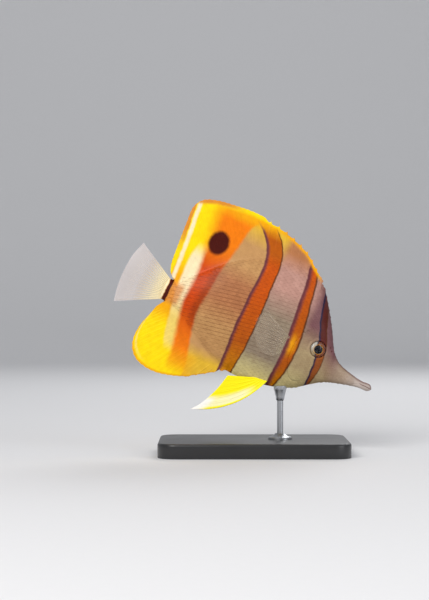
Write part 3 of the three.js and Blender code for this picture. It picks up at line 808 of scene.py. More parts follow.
class FishColours(bpy.types.PropertyGroup):
    """Colours of the fish and its stand."""

    ground_tan: colour_setting("Tan ground", "Ground of the rear flank, above and below", (196, 148, 94))
    ground_warm: colour_setting("Warm ground", "Ground of the rear flank, at mid height", (180, 118, 76))
    ground_ochre: colour_setting("Ochre ground", "Ground of the rear flank, near the yellow", (226, 180, 48))
    ground_low: colour_setting("Grey ground", "Ground amidships, at mid height", (150, 134, 114))
    ground_high: colour_setting("Pink ground", "Ground amidships, above", (194, 148, 134))
    breast: colour_setting("Breast", "Pale breast in front of the pelvic fins", (216, 202, 142))
    head: colour_setting("Head", "Cheek and gill cover", (176, 154, 116))
    nape: colour_setting("Nape", "Top of the head", (126, 84, 88))
    snout: colour_setting("Snout", "Snout and jaws", (170, 148, 126))
    lips: colour_setting("Lips", "Lips and tip of the snout", (192, 178, 170))
    orange: colour_setting("Orange", "Rear band beside the eye-spot", (242, 124, 4))
    band: colour_setting("Band", "Middle of the crossbands", (184, 88, 6))
    band_ochre: colour_setting("Ochre band", "Foot of the crossbands", (208, 132, 4))
    band_deep: colour_setting("Deep band", "Top of the crossbands", (204, 84, 4))
    band_dark: colour_setting("Band front edge", "Dark front edge of each crossband", (92, 48, 14))
    band_shadow: colour_setting("Band rear edge", "Purple-brown rear edge of each crossband", (108, 54, 60))
    maroon: colour_setting("Maroon", "Band above the eye", (92, 34, 26))
    eye_shadow: colour_setting("Eye band rear edge", "Blue-black rear edge of the eye band", (34, 32, 64))
    amber: colour_setting("Amber", "Where orange turns to yellow", (244, 168, 4))
    yellow: colour_setting("Yellow", "Rear of the fins and the pelvic fins", (255, 220, 2))
    lemon: colour_setting("Lemon", "Pelvic fins", (255, 240, 8))
    rim: colour_setting("Dorsal rim", "Outer rim of the soft dorsal fin", (220, 140, 44))
    cream: colour_setting("Cream", "Pale strips and lines", (250, 234, 190))
    straw: colour_setting("Straw", "Lower pale strip of the anal fin", (240, 210, 110))
    stalk: colour_setting("Stalk", "Pinkish tail stalk", (228, 144, 72))
    spot: colour_setting("Eye-spot", "Eye-spot and the bar at the tail's root", (72, 12, 2))
    ember: colour_setting("Ember", "Rear band at the tail stalk", (206, 70, 2))
    russet: colour_setting("Russet", "Front of the rear band, at mid height", (170, 62, 2))
    rust: colour_setting("Rust", "Band below the eye", (150, 80, 34))
    shadow: colour_setting("Shadow", "Darker tone between the scales", (140, 100, 76))
    clear: colour_setting("Clear fin", "Milky membrane of the tail and pectoral fins", (222, 214, 214))
    ray: colour_setting("Clear fin's rays", "Rays of the tail and pectoral fins", (208, 192, 172))
    pupil: colour_setting("Pupil", "Pupil of the eye", (4, 4, 14))
    iris: colour_setting("Iris", "Pale part of the iris", (214, 212, 204))
    base: colour_setting("Base", "Stand's base plate", (26, 26, 28))
    steel: colour_setting("Steel", "Rod and fittings", (176, 178, 182))
    paper: colour_setting("Backdrop", "Floor and backdrop", (232, 232, 234))


def length_setting(name, description, millimetres):
    """A length, given in millimetres and held in metres, as the panel's units are."""
    value = millimetres * MM
    return FloatProperty(name=name, description=description, default=value, precision=4, unit="LENGTH")


def count_setting(name, description, value):
    return IntProperty(name=name, description=description, default=value, min=1)


class FishSizes(bpy.types.PropertyGroup):
    """Sizes and counts of the surface details."""

    skin_depth: length_setting("Skin depth", "How far the skin lies under the scales", 0.1)
    scale_pitch: length_setting("Scale pitch", "Spacing of the scales along a row", 1.7)
    row_pitch: length_setting("Row pitch", "Spacing of the rows of scales", 2.2)
    scale_lift: length_setting("Scale lift", "Height of a scale's free edge", 0.14)
    cover_raise: length_setting("Gill cover edge", "Height of the gill cover's free edge", 0.45)
    orbit_raise: length_setting("Orbit rim", "Height of the rim round the eye", 0.45)
    eye_radius: length_setting("Eye radius", "Radius of the eye", 4.7)
    dorsal_rays: count_setting("Dorsal rays", "Soft rays of the dorsal fin", 29)
    anal_rays: count_setting("Anal rays", "Soft rays of the anal fin", 20)
    tail_rays: count_setting("Tail rays", "Principal rays of the tail fin", 17)
    pectoral_rays: count_setting("Pectoral rays", "Rays of each pectoral fin", 15)


class StageSettings(bpy.types.PropertyGroup):
    """Camera, light and backdrop."""

    lens: FloatProperty(name="Lens", description="Focal length of the camera", default=100, unit="CAMERA")
    frame_height: length_setting("Frame height", "Height that the picture takes in at the fish", 330)
    middle_x: length_setting("Middle across", "Model's x at the picture's middle", -21.4)
    middle_z: length_setting("Middle up", "Model's z at the picture's middle", 84.5)
    key: FloatProperty(name="Key light", description="Power of the main light", default=11, unit="POWER")
    fill: FloatProperty(name="Fill light", description="Power of the two soft lights", default=3, unit="POWER")
    ambient: FloatProperty(name="Ambient", description="Strength of the light from all round", default=0.42)


def colours():
    return bpy.context.scene.fish_colours


def sizes():
    """The panel's sizes, with lengths in millimetres."""
    held = bpy.context.scene.fish_sizes
    values = {key: getattr(held, key) for key in held.__annotations__}
    return SimpleNamespace(**{
        key: round(value / MM, 4) if isinstance(value, float) else value for key, value in values.items()
    })


# Skin

SKIN_COLUMNS, SKIN_ROWS = 240, 320
LIP_ROUND = 1.6

# Ridges and grooves of the head, as (height, width)
COVER_GROOVE = (-0.22, 0.35)
CHEEK = (0.14, 0.8)
ORBIT_WIDTH = 0.6
SOCKET_DEPTH = 2.4
NOSTRIL_RIM = (0.12, 0.22)
NOSTRIL_PITS = ((-0.55, 0.38), (-0.5, 0.38))
MOUTH_LINE = (-0.38, 0.17)
LIP = (0.2, 0.42)
LIP_FOLD = (-0.1, 0.35)
JAW_LINE = (-0.16, 0.22)


def head_relief(s, h):
    """How far the head's details stand out from the smooth body: gill cover, cheek, orbit and nostrils."""
    dims = sizes()
    near_cover = (np.abs(s - 81) < 9) & (np.abs(h) < 19)
    relief = np.zeros(np.shape(s))
    depth = distance_to(COVER_FREE_EDGE, s[near_cover], h[near_cover])
    inside = points_inside(COVER, s[near_cover], h[near_cover])
    flap = dims.cover_raise * (1 - smooth(depth, 1.5, 7.5))
    relief[near_cover] = np.where(inside, flap, ridge(depth - 0.25, *COVER_GROOVE))
    relief += ridge(distance_to(rounded(CHEEK_RIDGE, steps=6), s, h), *CHEEK)
    reach = np.hypot(s - EYE_AT[0], h - EYE_AT[1])
    relief += ridge(reach - dims.eye_radius - 0.65, dims.orbit_raise, ORBIT_WIDTH)
    relief -= SOCKET_DEPTH * (1 - smooth(reach, dims.eye_radius - 0.85, dims.eye_radius - 0.1))
    for at, pit in zip(NOSTRILS, NOSTRIL_PITS):
        away = np.hypot(s - at[0], h - at[1])
        relief += ridge(away - 0.62, *NOSTRIL_RIM) + ridge(away, *pit)
    return relief


def snout_relief(s, h):
    """The mouth line, the lips round it, and the line of the lower jaw."""
    span = MOUTH_TIP[0] - MOUTH_CORNER[0]
    line = MOUTH_CORNER[1] + (MOUTH_TIP[1] - MOUTH_CORNER[1]) * (s - MOUTH_CORNER[0]) / span
    open_part = smooth(s, MOUTH_CORNER[0] - 0.4, MOUTH_CORNER[0] + 0.6)
    relief = open_part * ridge(h - line, *MOUTH_LINE) + ridge(s - 120.5, *LIP_FOLD)
    relief += smooth(s, 120.6, 122.4) * (ridge(h - line - 0.7, *LIP) + ridge(h - line + 0.7, *LIP))
    jaw = distance_to(np.array([JAW_HINGE, MOUTH_CORNER], float), s, h)
    return relief + ridge(jaw, *JAW_LINE)


def points_inside(outline, s, h):
    """Which points lie inside a closed outline, by the crossings of a line from each."""
    odd = np.zeros(np.shape(s), bool)
    for (a, b), (c, d) in zip(outline, np.roll(outline, -1, axis=0)):
        if b == d:
            continue
        odd ^= ((b > h) != (d > h)) & (s < (c - a) * (h - b) / (d - b) + a)
    return odd


def station(share):
    """Stations along the body: closer together on the head and closest at the lips."""
    knots = [0, 0.34, 0.7, 0.93, 1]
    return np.interp(share, knots, [TAIL_END, 70, 100, 122, SNOUT_END])


def skin_shape(u, v):
    """The whole body's skin: u goes once round from the belly, v from tail to snout."""
    s = station(v)
    turn = 2 * np.pi * u - np.pi / 2
    level, depth = widest_level(s), sizes().skin_depth
    reach = np.where(np.sin(turn) > 0, back(s) - level, level - belly(s))
    crest = np.abs(np.cos(turn))
    y = flank(s, level + reach * np.sin(turn)) * smooth(crest, 0, 0.02) * (1 - depth / half_width(s))
    lips = np.sqrt(1 - np.clip((s - SNOUT_END) / LIP_ROUND + 1, 0, 1) ** 2)
    closed = at_ends(v)
    y = np.where(closed, 0, y * np.sign(np.cos(turn)) * lips)
    h = np.where(closed, level, level + (reach - depth) * np.sin(turn) * lips)
    return to_model(s, y, h)


class FISH_OT_skin(bpy.types.Operator):
    """Builds the seamless skin of head, body and tail stalk"""

    bl_idname = "fish.skin"
    bl_label = "Skin"

    def execute(self, context):
        made = shaped_grid("fish_skin", SKIN_COLUMNS, SKIN_ROWS, skin_shape)
        nodes = ["head", "snout", "lower_jaw", "gill_cover_left", "gill_cover_right", "torso", "tail_stalk"]
        finish_piece(made, "skin", coat("skin_coat"), *nodes)
        return {"FINISHED"}


# Scales

SCALE_SIDES = 9
SCALE_LENGTH, SCALE_BREADTH = 1.05, 0.62
SIZE_SPREAD = (0.94, 1.06)
PLAIN_SIZE = (1, 1, 0.6)
SCALE_PATCH = 0.003

# Distances that scales keep: from either end of a row, the gill cover's edge, the eye and the nostrils
ROW_END, COVER_CLEAR, EYE_CLEAR, NOSTRIL_CLEAR = 0.3, 0.85, 1.7, 2.4
ROOT_REACH, ROOT_FLATTENING = 2.2, 0.75


def section(s, low, high):
    """The flank's line at one station from a low to a high level.

    Gives its levels, the skin's half widths there, those of the body without its details, and distance along.
    """
    top, bottom, level = float(back(s)), float(belly(s)), float(widest_level(s))
    turns = np.linspace(-np.pi / 2, np.pi / 2, 161)[1:-1]
    reach = np.where(np.sin(turns) > 0, top - level, level - bottom)
    h = level + reach * np.sin(turns)
    h = np.concatenate([np.arange(low, bottom - 0.3, 0.5), h, np.arange(top + 0.3, high, 0.5)])
    at = np.full(len(h), s)
    plain = faired(at, h, fin_base(at, h))
    run = np.concatenate([[0], np.cumsum(np.hypot(np.diff(h), np.diff(plain)))])
    return h, flank(at, h), plain, run - np.interp(level, h, run)


def scale_template():
    """One scale, modelled flat and pointing backwards: a thin round plate with a sharp rim and a sunk root."""
    pick_none()
    bpy.ops.mesh.primitive_circle_add(vertices=SCALE_SIDES, radius=1, fill_type="TRIFAN")
    made = named("scale_template")
    edit_all(bpy.ops.mesh.duplicate, bpy.ops.mesh.flip_normals)
    flat = places(made.data).copy()
    middle = np.flatnonzero(np.hypot(flat[:, 0], flat[:, 1]) < 1e-4)
    flat[:, 0] = np.where(flat[:, 0] < 0, flat[:, 0] * 0.86, flat[:, 0])
    flat[:, 2] = 0.0
    flat[middle[0], 2], flat[middle[1], 2] = 0.3, -1.0
    put_places(made.data, flat)
    edit_all(lambda: bpy.ops.mesh.remove_doubles(threshold=1e-5))
    points = places(made.data).astype(float)
    faces = np.array([list(p.vertices) for p in made.data.polygons])
    bpy.data.objects.remove(made)
    return points, faces


class ScaleField:
    """Gathers scales of one side, zone by zone, and joins them into one mesh."""

    def __init__(self, name, sign, template, seed, plain):
        self.name, self.sign, self.plain = name, sign, plain
        self.points, self.faces = template
        self.random = np.random.default_rng(seed)
        self.seats = []

    def add_zone(self, stations, fineness, limits, keep, rise):
        """Sets rows of scales over a zone: every second column is set half a row up or down."""
        dims = sizes()
        pitch, row_pitch = dims.scale_pitch * fineness, dims.row_pitch * fineness
        full = np.array([pitch * SCALE_LENGTH, row_pitch * SCALE_BREADTH, dims.scale_lift * fineness**0.5])
        for i, s in enumerate(np.arange(*stations, pitch)):
            low, high = limits(s)
            rearward, (h, y, plain, run), forward = (section(s + d, low, high) for d in (-0.5, 0, 0.5))
            start = run[0] + row_pitch * 0.5
            rows = np.arange(np.ceil(start / row_pitch), run[-1] / row_pitch) + 0.5 * (i % 2)
            climb = rise * (s - 45) % row_pitch
            at = rows * row_pitch + climb
            at = at[(at > run[0] + ROW_END) & (at < run[-1] - ROW_END)]
            level, out = np.interp(at, run, h), np.interp(at, run, y)
            fore, rear = (
                [np.interp(at, other[3], other[k]) for k in (2, 0)] for other in (forward, rearward)
            )
            along = np.stack([np.ones_like(at), fore[0] - rear[0], fore[1] - rear[1]], -1)
            rises = [np.interp(at + 0.3, run, line) - np.interp(at - 0.3, run, line) for line in (plain, h)]
            across = np.stack([np.zeros_like(at), *rises], -1)
            near_root = np.maximum(*(hump(level - float(line(s)), ROOT_REACH) for line in (back, belly)))
            flatness = 1 - ROOT_FLATTENING * near_root * (s < 60)
            for k in np.flatnonzero(keep(np.full_like(at, s), level)):
                place, size = np.array([s, out[k], level[k]]), full * (1, 1, flatness[k])
                self.seats.append((place, along[k], across[k], size, at[k], (at[k] - climb) / row_pitch))

    def build(self):
        centre, along, across, size, run, row = (np.array(column) for column in zip(*self.seats))
        rearward = -along / np.linalg.norm(along, axis=1)[:, None]
        across -= (across * rearward).sum(1)[:, None] * rearward
        across /= np.linalg.norm(across, axis=1)[:, None]
        normal = np.cross(across, rearward)
        normal *= np.sign(normal[:, 1])[:, None]
        size = size * self.random.uniform(*SIZE_SPREAD, (len(size), 1)) * (PLAIN_SIZE if self.plain else 1)
        x, y, z = self.points.T
        lift = x * 0.5 + 0.35 - 0.35 * y**2 + z
        points = centre[:, None] + sum(
            axis[:, None] * (local * size[:, k : k + 1])[..., None]
            for k, (axis, local) in enumerate(((rearward, x), (across, y), (normal, lift)))
        )
        s, y, h = points.reshape(-1, 3).T
        firsts = np.arange(len(centre)) * len(self.points)
        faces = (self.faces[None] + firsts[:, None, None]).reshape(-1, 3)
        made = mesh_from(self.name, to_model(s, y * self.sign, h), faces)
        self.write_marks(made.data, centre, run, row, size)
        edit_all(point_outwards)
        soften(32)
        return made

    def write_marks(self, mesh, centre, run, row, size):
        """Each scale's rim, tone and row for its colour, and a small patch of its own on the skin's unwrap."""
        rearward, across, _ = self.points.T
        rim = np.tile(np.clip(np.abs(across) + 0.25 * (rearward > 0.5), 0, 1), len(centre))
        tone = np.repeat(self.random.uniform(0, 1, len(centre)), len(across))
        row = (row[:, None] + across * size[:, 1:2] / sizes().row_pitch).ravel()
        if self.plain:
            rim, tone, row = rim * 0.7, tone * 0.4, np.full_like(row, 0.5)
        for label, values in zip(SCALE_MARKS, (rim, tone, row)):
            mesh.attributes.new(label, "FLOAT", "POINT").data.foreach_set("value", values.astype(np.float32))
        root = np.stack([(centre[:, 0] - TAIL_END + 8) / (SNOUT_END - TAIL_END + 12), (run + 70) / 150], -1)
        place = (root[:, None] + self.points[:, :2] * SCALE_PATCH / 2).reshape(-1, 2)
        corner = np.empty(len(mesh.loops), np.int32)
        mesh.loops.foreach_get("vertex_index", corner)
        layer = mesh.uv_layers.new(name=UNWRAP)
        layer.data.foreach_set("uv", place[corner].astype(np.float32).ravel())


def body_limits(s):
    """From a little below the belly to a little above the back, where fins join the body."""
    return float(belly(s)) - 1.6 * (s < 47), float(back(s)) + 2.2 * (s < 75)


def fin_limits(s):
    return float(belly(s) - profile(ANAL_COVER)(s) * (s < 47.5)), float(back(s) + profile(DORSAL_COVER)(s))


def head_limits(s):
    return float(belly(s)), float(back(s))


def at_cover(s, h):
    """Which points lie on the gill cover, and which keep clear of its free edge."""
    return points_inside(COVER, s, h), distance_to(COVER_FREE_EDGE, s, h) > COVER_CLEAR


def body_kept(s, h):
    """Body scales run up to the gill opening and the nape."""
    covered, clear = at_cover(s, h)
    return (s < 77.6 + 0.12 * np.maximum(h - 16, 0)) & ~covered & clear


def head_kept(s, h):
    """Head scales leave the eye, its rim and the nostrils bare, and start at the gill cover's free edge."""
    eye = np.hypot(s - EYE_AT[0], h - EYE_AT[1]) > sizes().eye_radius + EYE_CLEAR
    nostrils = np.hypot(s - NOSTRILS[0][0], h - NOSTRILS[0][1]) > NOSTRIL_CLEAR
    covered, clear = at_cover(s, h)
    return eye & nostrils & clear & (covered | (s > 77.2 - 0.2 * np.maximum(h - 16, 0)))


def fin_kept(s, h):
    return (h > back(s) + 0.6) | ((h < belly(s) - 0.4) & (s < 47.5))


def snout_kept(s, h):
    return np.ones(len(s), bool)


# Each field's name, seed, whether it is plain, and its zones: stations, fineness, limits, which scales stay,
# and how steeply the rows rise forward
SCALE_FIELDS = (
    ("body", 11, False, [((2.0, 78.0), 1, body_limits, body_kept, 0.15)]),
    ("fins", 21, True, [((1.5, 74.0), 0.72, fin_limits, fin_kept, 0.1)]),
    ("head", 31, False, [
        ((75.5, 101.0), 0.66, head_limits, head_kept, 0.0),
        ((100.2, 114.0), 0.46, head_limits, snout_kept, 0.0),
    ]),
)


class FISH_OT_scales(bpy.types.Operator):
    """Lays the overlapping scales over body, fin bases and head"""

    bl_idname = "fish.scales"
    bl_label = "Scales"

    def execute(self, context):
        template = scale_template()
        for side, sign in SIDES:
            for place, seed, plain, zones in SCALE_FIELDS:
                field = ScaleField(f"scales_{place}_{side}", sign, template, seed + sign, plain)
                for zone in zones:
                    field.add_zone(*zone)
                finish_piece(field.build(), "skin", coat("scale_coat", scaled=True))
        return {"FINISHED"}


# Fins

FIN_ROWS = 76
FIN_MARGIN_ROUND = 0.03
SPINE_LEAD = 0.2
RAY_COLUMNS = 12
RAY_HEIGHT = 0.14
PELVIC_RAYS = 6


def bowed(root, tip, bow):
    """The middle point that bows each column from root to tip, by a share of its length."""
    chord = tip - root
    return (root + tip) / 2 + np.stack([-chord[:, 1], chord[:, 0]], -1) * bow


def columns_between(root_at, margin_at, share, bow, drop):
    """Root, bow point and tip of each column of a fin, its tip drawn back by a drop."""
    root, tip = root_at(share), margin_at(share)
    run = root - tip
    tip = tip + run / np.linalg.norm(run, axis=-1, keepdims=True) * drop[:, None]
    return root, bowed(root, tip, bow), tip


def along_columns(root, middle, tip, v):
    """Points at shares v out along columns, which bow a little."""
    v = v[:, None]
    return (1 - v) ** 2 * root + 2 * v * (1 - v) * middle + v * v * tip


def root_line(outline, ends, sink):
    """A fin's root along the body's outline, sunk into the flesh."""

    def at(share):
        s = ends[0] + (ends[1] - ends[0]) * share
        return np.stack([s, outline(s) + sink], -1)

    return at


def soft_ridge(share, v, count):
    """Height of the soft rays over the membrane: towards the margin each splits in two, and each half again."""
    w = (share * count) % 1.0 - 0.5
    first = 0.16 * smooth(v, 0.42, 0.72)
    second = 0.085 * smooth(v, 0.7, 0.92)
    width = 0.17 - 0.1 * v
    height = np.zeros_like(w)
    for a, b in ((-1, -1), (-1, 1), (1, -1), (1, 1)):
        height = np.maximum(height, hump(w - a * first - b * second, width))
    return height * (1 - 0.55 * v)


def spine_drop(share, count):
    """How far the membrane is cut back between spine tips."""
    w = (share * count - SPINE_LEAD + 0.16) % 1.0 - 0.16
    return np.interp(w, [-0.16, -0.07, 0, 0.1, 0.3, 0.84], [1, 0.8, 0, 0.62, 0.9, 1])


def spine_ridge(share, v, count):
    """Height of the spines over the membrane, tapering to their tips."""
    w = (share * count - SPINE_LEAD + 0.5) % 1.0 - 0.5
    width = 0.17 * (1 - 0.55 * v)
    return np.sqrt(np.clip(1 - (w / width) ** 2, 0, 1)) * (1 - 0.7 * v)


def folded(v):
    """The side, 1 or -1, and the share out from the root, on a sheet that is folded over its margin."""
    return np.where(v < 0.5, 1.0, -1.0), 1 - np.abs(2 * v - 1)


def closing(u, columns, over):
    """1 across a sheet, falling round to 0 over so many columns at either end."""
    ends = np.clip(np.minimum(u, 1 - u) * columns / over, 0, 1)
    return np.sqrt(1 - (1 - ends) ** 2)


def median_fin(name, outline, up, cover, spines, rays):
    """A fin of the middle plane, as one sheet folded over its margin: spines come first, then soft rays."""
    columns = spines["columns"] + rays["count"] * RAY_COLUMNS
    spine_share = spines["columns"] / columns
    cover = profile(cover)
    bow = FIN_BOW * up
    (spine_root, spine_tip), (ray_root, ray_tip) = (
        (root_line(outline, part["roots"], -ROOT_SINK * up), along_line(part["margin"]))
        for part in (spines, rays)
    )

    def shape(u, v):
        side, out = folded(v)
        is_spine = u <= spine_share
        share = np.where(is_spine, u / spine_share, (u - spine_share) / (1 - spine_share))
        drop = spines["notch"] * spine_drop(share, spines["count"]) * (1 - smooth(share, 0.93, 1))
        spine_columns = columns_between(spine_root, spine_tip, share, bow, drop)
        scallop = -0.22 * hump((share * rays["count"]) % 1 - 0.5, 0.3)
        ray_columns = columns_between(ray_root, ray_tip, share, bow, scallop)
        spread = [np.where(is_spine[:, None], a, b) for a, b in zip(spine_columns, ray_columns)]
        s, h = along_columns(*spread, out).T
        clear = (h - back(s)) if up > 0 else (belly(s) - h)
        grown = smooth(clear, 0.3 * cover(s), 1.1 * cover(s) + 1.5)
        spine_height = spines["height"] * spine_ridge(share, out, spines["count"])
        raised = np.where(is_spine, spine_height, RAY_HEIGHT * soft_ridge(share, out, rays["count"]))
        sunk = 0.02 * smooth(clear, -2.4, -1.6) - 0.25 * (1 - smooth(clear, -3, -2.2))
        margin = np.sqrt(1 - np.clip((out - 1) / FIN_MARGIN_ROUND + 1, 0, 1) ** 2 * 0.9999999)
        half = (faired(s, h, blade(clear)) + raised * grown + sunk) * closing(u, columns, 3.0) * margin
        return to_model(s, np.where(at_ends(out), 0, np.maximum(half, 0)) * side, h)

    return shaped_grid(name, columns, FIN_ROWS, shape)


class FISH_OT_median_fins(bpy.types.Operator):
    """Builds the dorsal and anal fins with their spines and branching rays"""

    bl_idname = "fish.median_fins"
    bl_label = "Dorsal and anal fins"

    def execute(self, context):
        spines = {
            "count": DORSAL_SPINES, "columns": 150, "roots": SPINE_ROOTS, "margin": SPINE_MARGIN,
            "notch": SPINE_NOTCH, "height": 0.42,
        }
        rays = {"count": sizes().dorsal_rays, "roots": DORSAL_ROOTS, "margin": DORSAL_MARGIN}
        dorsal = median_fin("fin_dorsal", back, 1, DORSAL_COVER, spines, rays)
        finish_piece(dorsal, "orange_fin", coat("fin_coat"), "dorsal_fin_spiny", "dorsal_fin_soft")
        spines = {
            "count": ANAL_SPINES, "columns": 48, "roots": ANAL_SPINE_ROOTS, "margin": ANAL_SPINE_MARGIN,
            "notch": SPINE_NOTCH * 0.6, "height": 0.36,
        }
        rays = {"count": sizes().anal_rays, "roots": ANAL_ROOTS, "margin": ANAL_MARGIN}
        anal = median_fin("fin_anal", belly, -1, ANAL_COVER, spines, rays)
        finish_piece(anal, "yellow_fin", coat("anal_coat", margin_line=0.25), "anal_fin")
        return {"FINISHED"}


TAIL_OUT = along_line(TAIL_MARGIN)


def tail_place(share, v):
    """A point of the tail fin by its share from top to bottom and out from the root."""
    root = np.stack([np.full_like(share, TAIL_ROOT[0]), TAIL_ROOT[1] * (1 - 2 * share)], -1)
    place = along_columns(root, (root + TAIL_OUT(share)) / 2, TAIL_OUT(share), v)
    ripple = 0.35 * np.sin(share * 9.0 + 0.6) * v**2
    return np.stack([place[:, 0], TAIL_SWEEP * v**2 + ripple, place[:, 1]], -1)


def paired_place(root_at, margin_at, level, sign, flare, bow):
    """Points of a paired fin, which leans out from the flank about its root line."""

    def place(share, v):
        root, tip = root_at(share), margin_at(share)
        flat = along_columns(root, bowed(root, tip, bow(share)[:, None]), tip, v)
        lean = math.tan(flare) * np.linalg.norm(flat - root, axis=-1)
        return np.stack([flat[:, 0], sign * (level + lean), flat[:, 1]], -1)

    return place


def pectoral_place(sign):
    top, bottom = (np.array(p, float) for p in PECTORAL_ROOT)
    level = float(body_side(*(top + bottom) / 2)) - 1.4
    return paired_place(
        lambda share: top + (bottom - top) * share[:, None], along_line(PECTORAL_MARGIN), level, sign,
        PECTORAL_FLARE, lambda share: np.full_like(share, FIN_BOW),
    )


def pelvic_place(pelvic):
    return paired_place(
        root_line(belly, PELVIC_ROOTS, ROOT_SINK), along_line(pelvic["margin"]), PELVIC_LEVEL, pelvic["sign"],
        pelvic["flare"], lambda share: pelvic["bow"] * (1 - share),
    )


def fin_sheet(name, columns, rows, place, normal, half):
    """A thin closed sheet over a fin surface, folded over its margin."""

    def shape(u, v):
        side, out = folded(v)
        thick = np.where(at_ends(out), 0, half(u, out) * closing(u, columns, 1.5))
        return to_model(*(place(u, out) + np.array(normal) * (thick * side)[:, None]).T)

    return shaped_grid(name, columns, rows, shape)


def ray_paths(count, first, second, end):
    """Each ray as a stem, two branches and four tips: the share across at both ends, from, to and thickness."""
    paths = []
    for middle in (np.arange(count) + 0.5) / count:
        paths.append((middle, middle, 0.0, first, 1.0))
        for a in (-0.5, 0.5):
            branch = middle + a * 0.42 / count
            paths.append((middle, branch, first, second, 0.72))
            paths += [(branch, branch + b * 0.2 / count, second, end, 0.5) for b in (-0.5, 0.5)]
    return paths


def ray_tubes(name, place, paths, radius, steps=7):
    """The fin's rays as tapered curves over its surface, made one closed mesh."""
    data = bpy.data.curves.new(name, "CURVE")
    data.dimensions = "3D"
    data.bevel_depth = 1.0
    data.bevel_resolution = 1
    data.use_fill_caps = True
    for start, end, low, high, size in paths:
        t = np.linspace(0, 1, steps)
        share = start + (end - start) * smooth(t, 0, 1)
        v = low + (high - low) * t
        line = data.splines.new("POLY")
        line.points.add(steps - 1)
        thick = radius * size * (1 - 0.72 * v) * MM
        for point, co, r in zip(line.points, to_model(*place(share, v).T), thick):
            point.co = (*co, 1)
            point.radius = r
    add_object(name, data)
    bpy.ops.object.convert(target="MESH")
    tidy_mesh(1e-7)
    soften(50)
    return bpy.context.object


def creamy(outer, low, high):
    """A colour that turns from the one given to cream, from low to high along the fish."""
    return lambda s: s.step(low, high).mix(outer, colours().cream)


class FISH_OT_tail_fin(bpy.types.Operator):
    """Builds the milky tail fin: a clear membrane over branching rays"""

    bl_idname = "fish.tail_fin"
    bl_label = "Tail fin"

    def execute(self, context):
        tone = colours()
        membrane = fin_sheet(
            "fin_tail_membrane", 90, 60, tail_place, (0, 1, 0), lambda u, out: 0.08 + 0.5 * np.exp(-out * 9),
        )
        look = fin_material("tail_membrane", creamy(tone.clear, -15, -4), 0.35, 0.42)
        finish_piece(membrane, "clear_fin", look, "tail_fin")
        rays = ray_tubes("fin_tail_rays", tail_place, ray_paths(sizes().tail_rays, 0.34, 0.64, 0.985), 0.42)
        finish_piece(rays, "clear_fin", fin_material("tail_rays", creamy(tone.ray, -15, -4), 0.4, 0.85))
        return {"FINISHED"}


def pectoral_half(share, out):
    return 0.06 + 0.25 * np.exp(-out * 12)


def pelvic_half(share, out):
    """Half the thickness of a pelvic fin: a strong leading spine, then branching rays."""
    spine = 0.5 * hump(share - 0.03, 0.05) * (1 - 0.75 * out)
    rays = 0.2 * soft_ridge(share, out, PELVIC_RAYS)
    return 0.1 + 0.6 * np.exp(-out * 7) + spine + rays * (share > 0.12)


def pelvic_colour(s):
    """Bright yellow, with a pale strip behind the leading spine and a white tip."""
    share, out = fin_share(s.tree)
    leading = share.step(0.5, 0.3)
    strip = share.step(0.05, 0.12) * leading * out.step(0.12, 0.4)
    colour = strip.mix(colours().lemon, (1, 0.94, 0.5))
    return (out.step(0.8, 0.95) * leading).mix(colour, (1, 0.97, 0.9))


class FISH_OT_paired_fins(bpy.types.Operator):
    """Builds the clear pectoral fins and the yellow pelvic fins"""

    bl_idname = "fish.paired_fins"
    bl_label = "Pectoral and pelvic fins"

    def execute(self, context):
        colour = creamy(colours().ray, 66, 73)
        membrane_look = fin_material("pectoral_membrane", colour, 0.3, 0.06)
        ray_look = fin_material("pectoral_rays", colour, 0.4, 0.24)
        for side, sign in SIDES:
            place = pectoral_place(sign)
            name, normal = f"fin_pectoral_membrane_{side}", (0.35, 0.94 * sign, 0)
            membrane = fin_sheet(name, 60, 40, place, normal, pectoral_half)
            finish_piece(membrane, "clear_fin", membrane_look, f"pectoral_fin_{side}")
            paths = ray_paths(sizes().pectoral_rays, 0.5, 0.8, 0.97)
            finish_piece(ray_tubes(f"fin_pectoral_rays_{side}", place, paths, 0.24), "clear_fin", ray_look)
        look = fin_material("pelvic_yellow", pelvic_colour, 0.4, 1.0)
        for side, pelvic in PELVICS.items():
            normal = (0, pelvic["sign"], 0)
            fin = fin_sheet(f"fin_pelvic_{side}", 120, 80, pelvic_place(pelvic), normal, pelvic_half)
            finish_piece(fin, "yellow_fin", look, f"pelvic_fin_{side}")
        return {"FINISHED"}


# Eyes


def flank_direction(s, h, sign):
    """Straight out from the flank at a point."""
    d = 0.6
    along = (body_side(s + d, h) - body_side(s - d, h)) / (2 * d)
    up = (body_side(s, h + d) - body_side(s, h - d)) / (2 * d)
    outward = np.array([-float(along), 1.0, -float(up)])
    return outward / np.linalg.norm(outward) * np.array([1, sign, 1])


def dome(name, sign, rings):
    """A round cap on the flank: rings gives a ring's radius, in eye radii, and its height over the flank."""
    radius = sizes().eye_radius
    direction = flank_direction(*EYE_AT, sign)
    centre = np.array([EYE_AT[0], sign * float(body_side(*EYE_AT)), EYE_AT[1]])
    forward = np.cross([0, 0, 1.0], direction) * sign
    forward /= np.linalg.norm(forward)
    up = np.cross(direction, forward)
    up *= np.sign(up[2])

    def place(u, v):
        ring, out = rings(v)
        across, high = radius * ring * np.cos(2 * np.pi * u), radius * ring * np.sin(2 * np.pi * u)
        points = centre + across[:, None] * forward + high[:, None] * up + out[:, None] * direction
        return to_model(*points.T)

    return shaped_grid(name, 64, 40, place, 50)


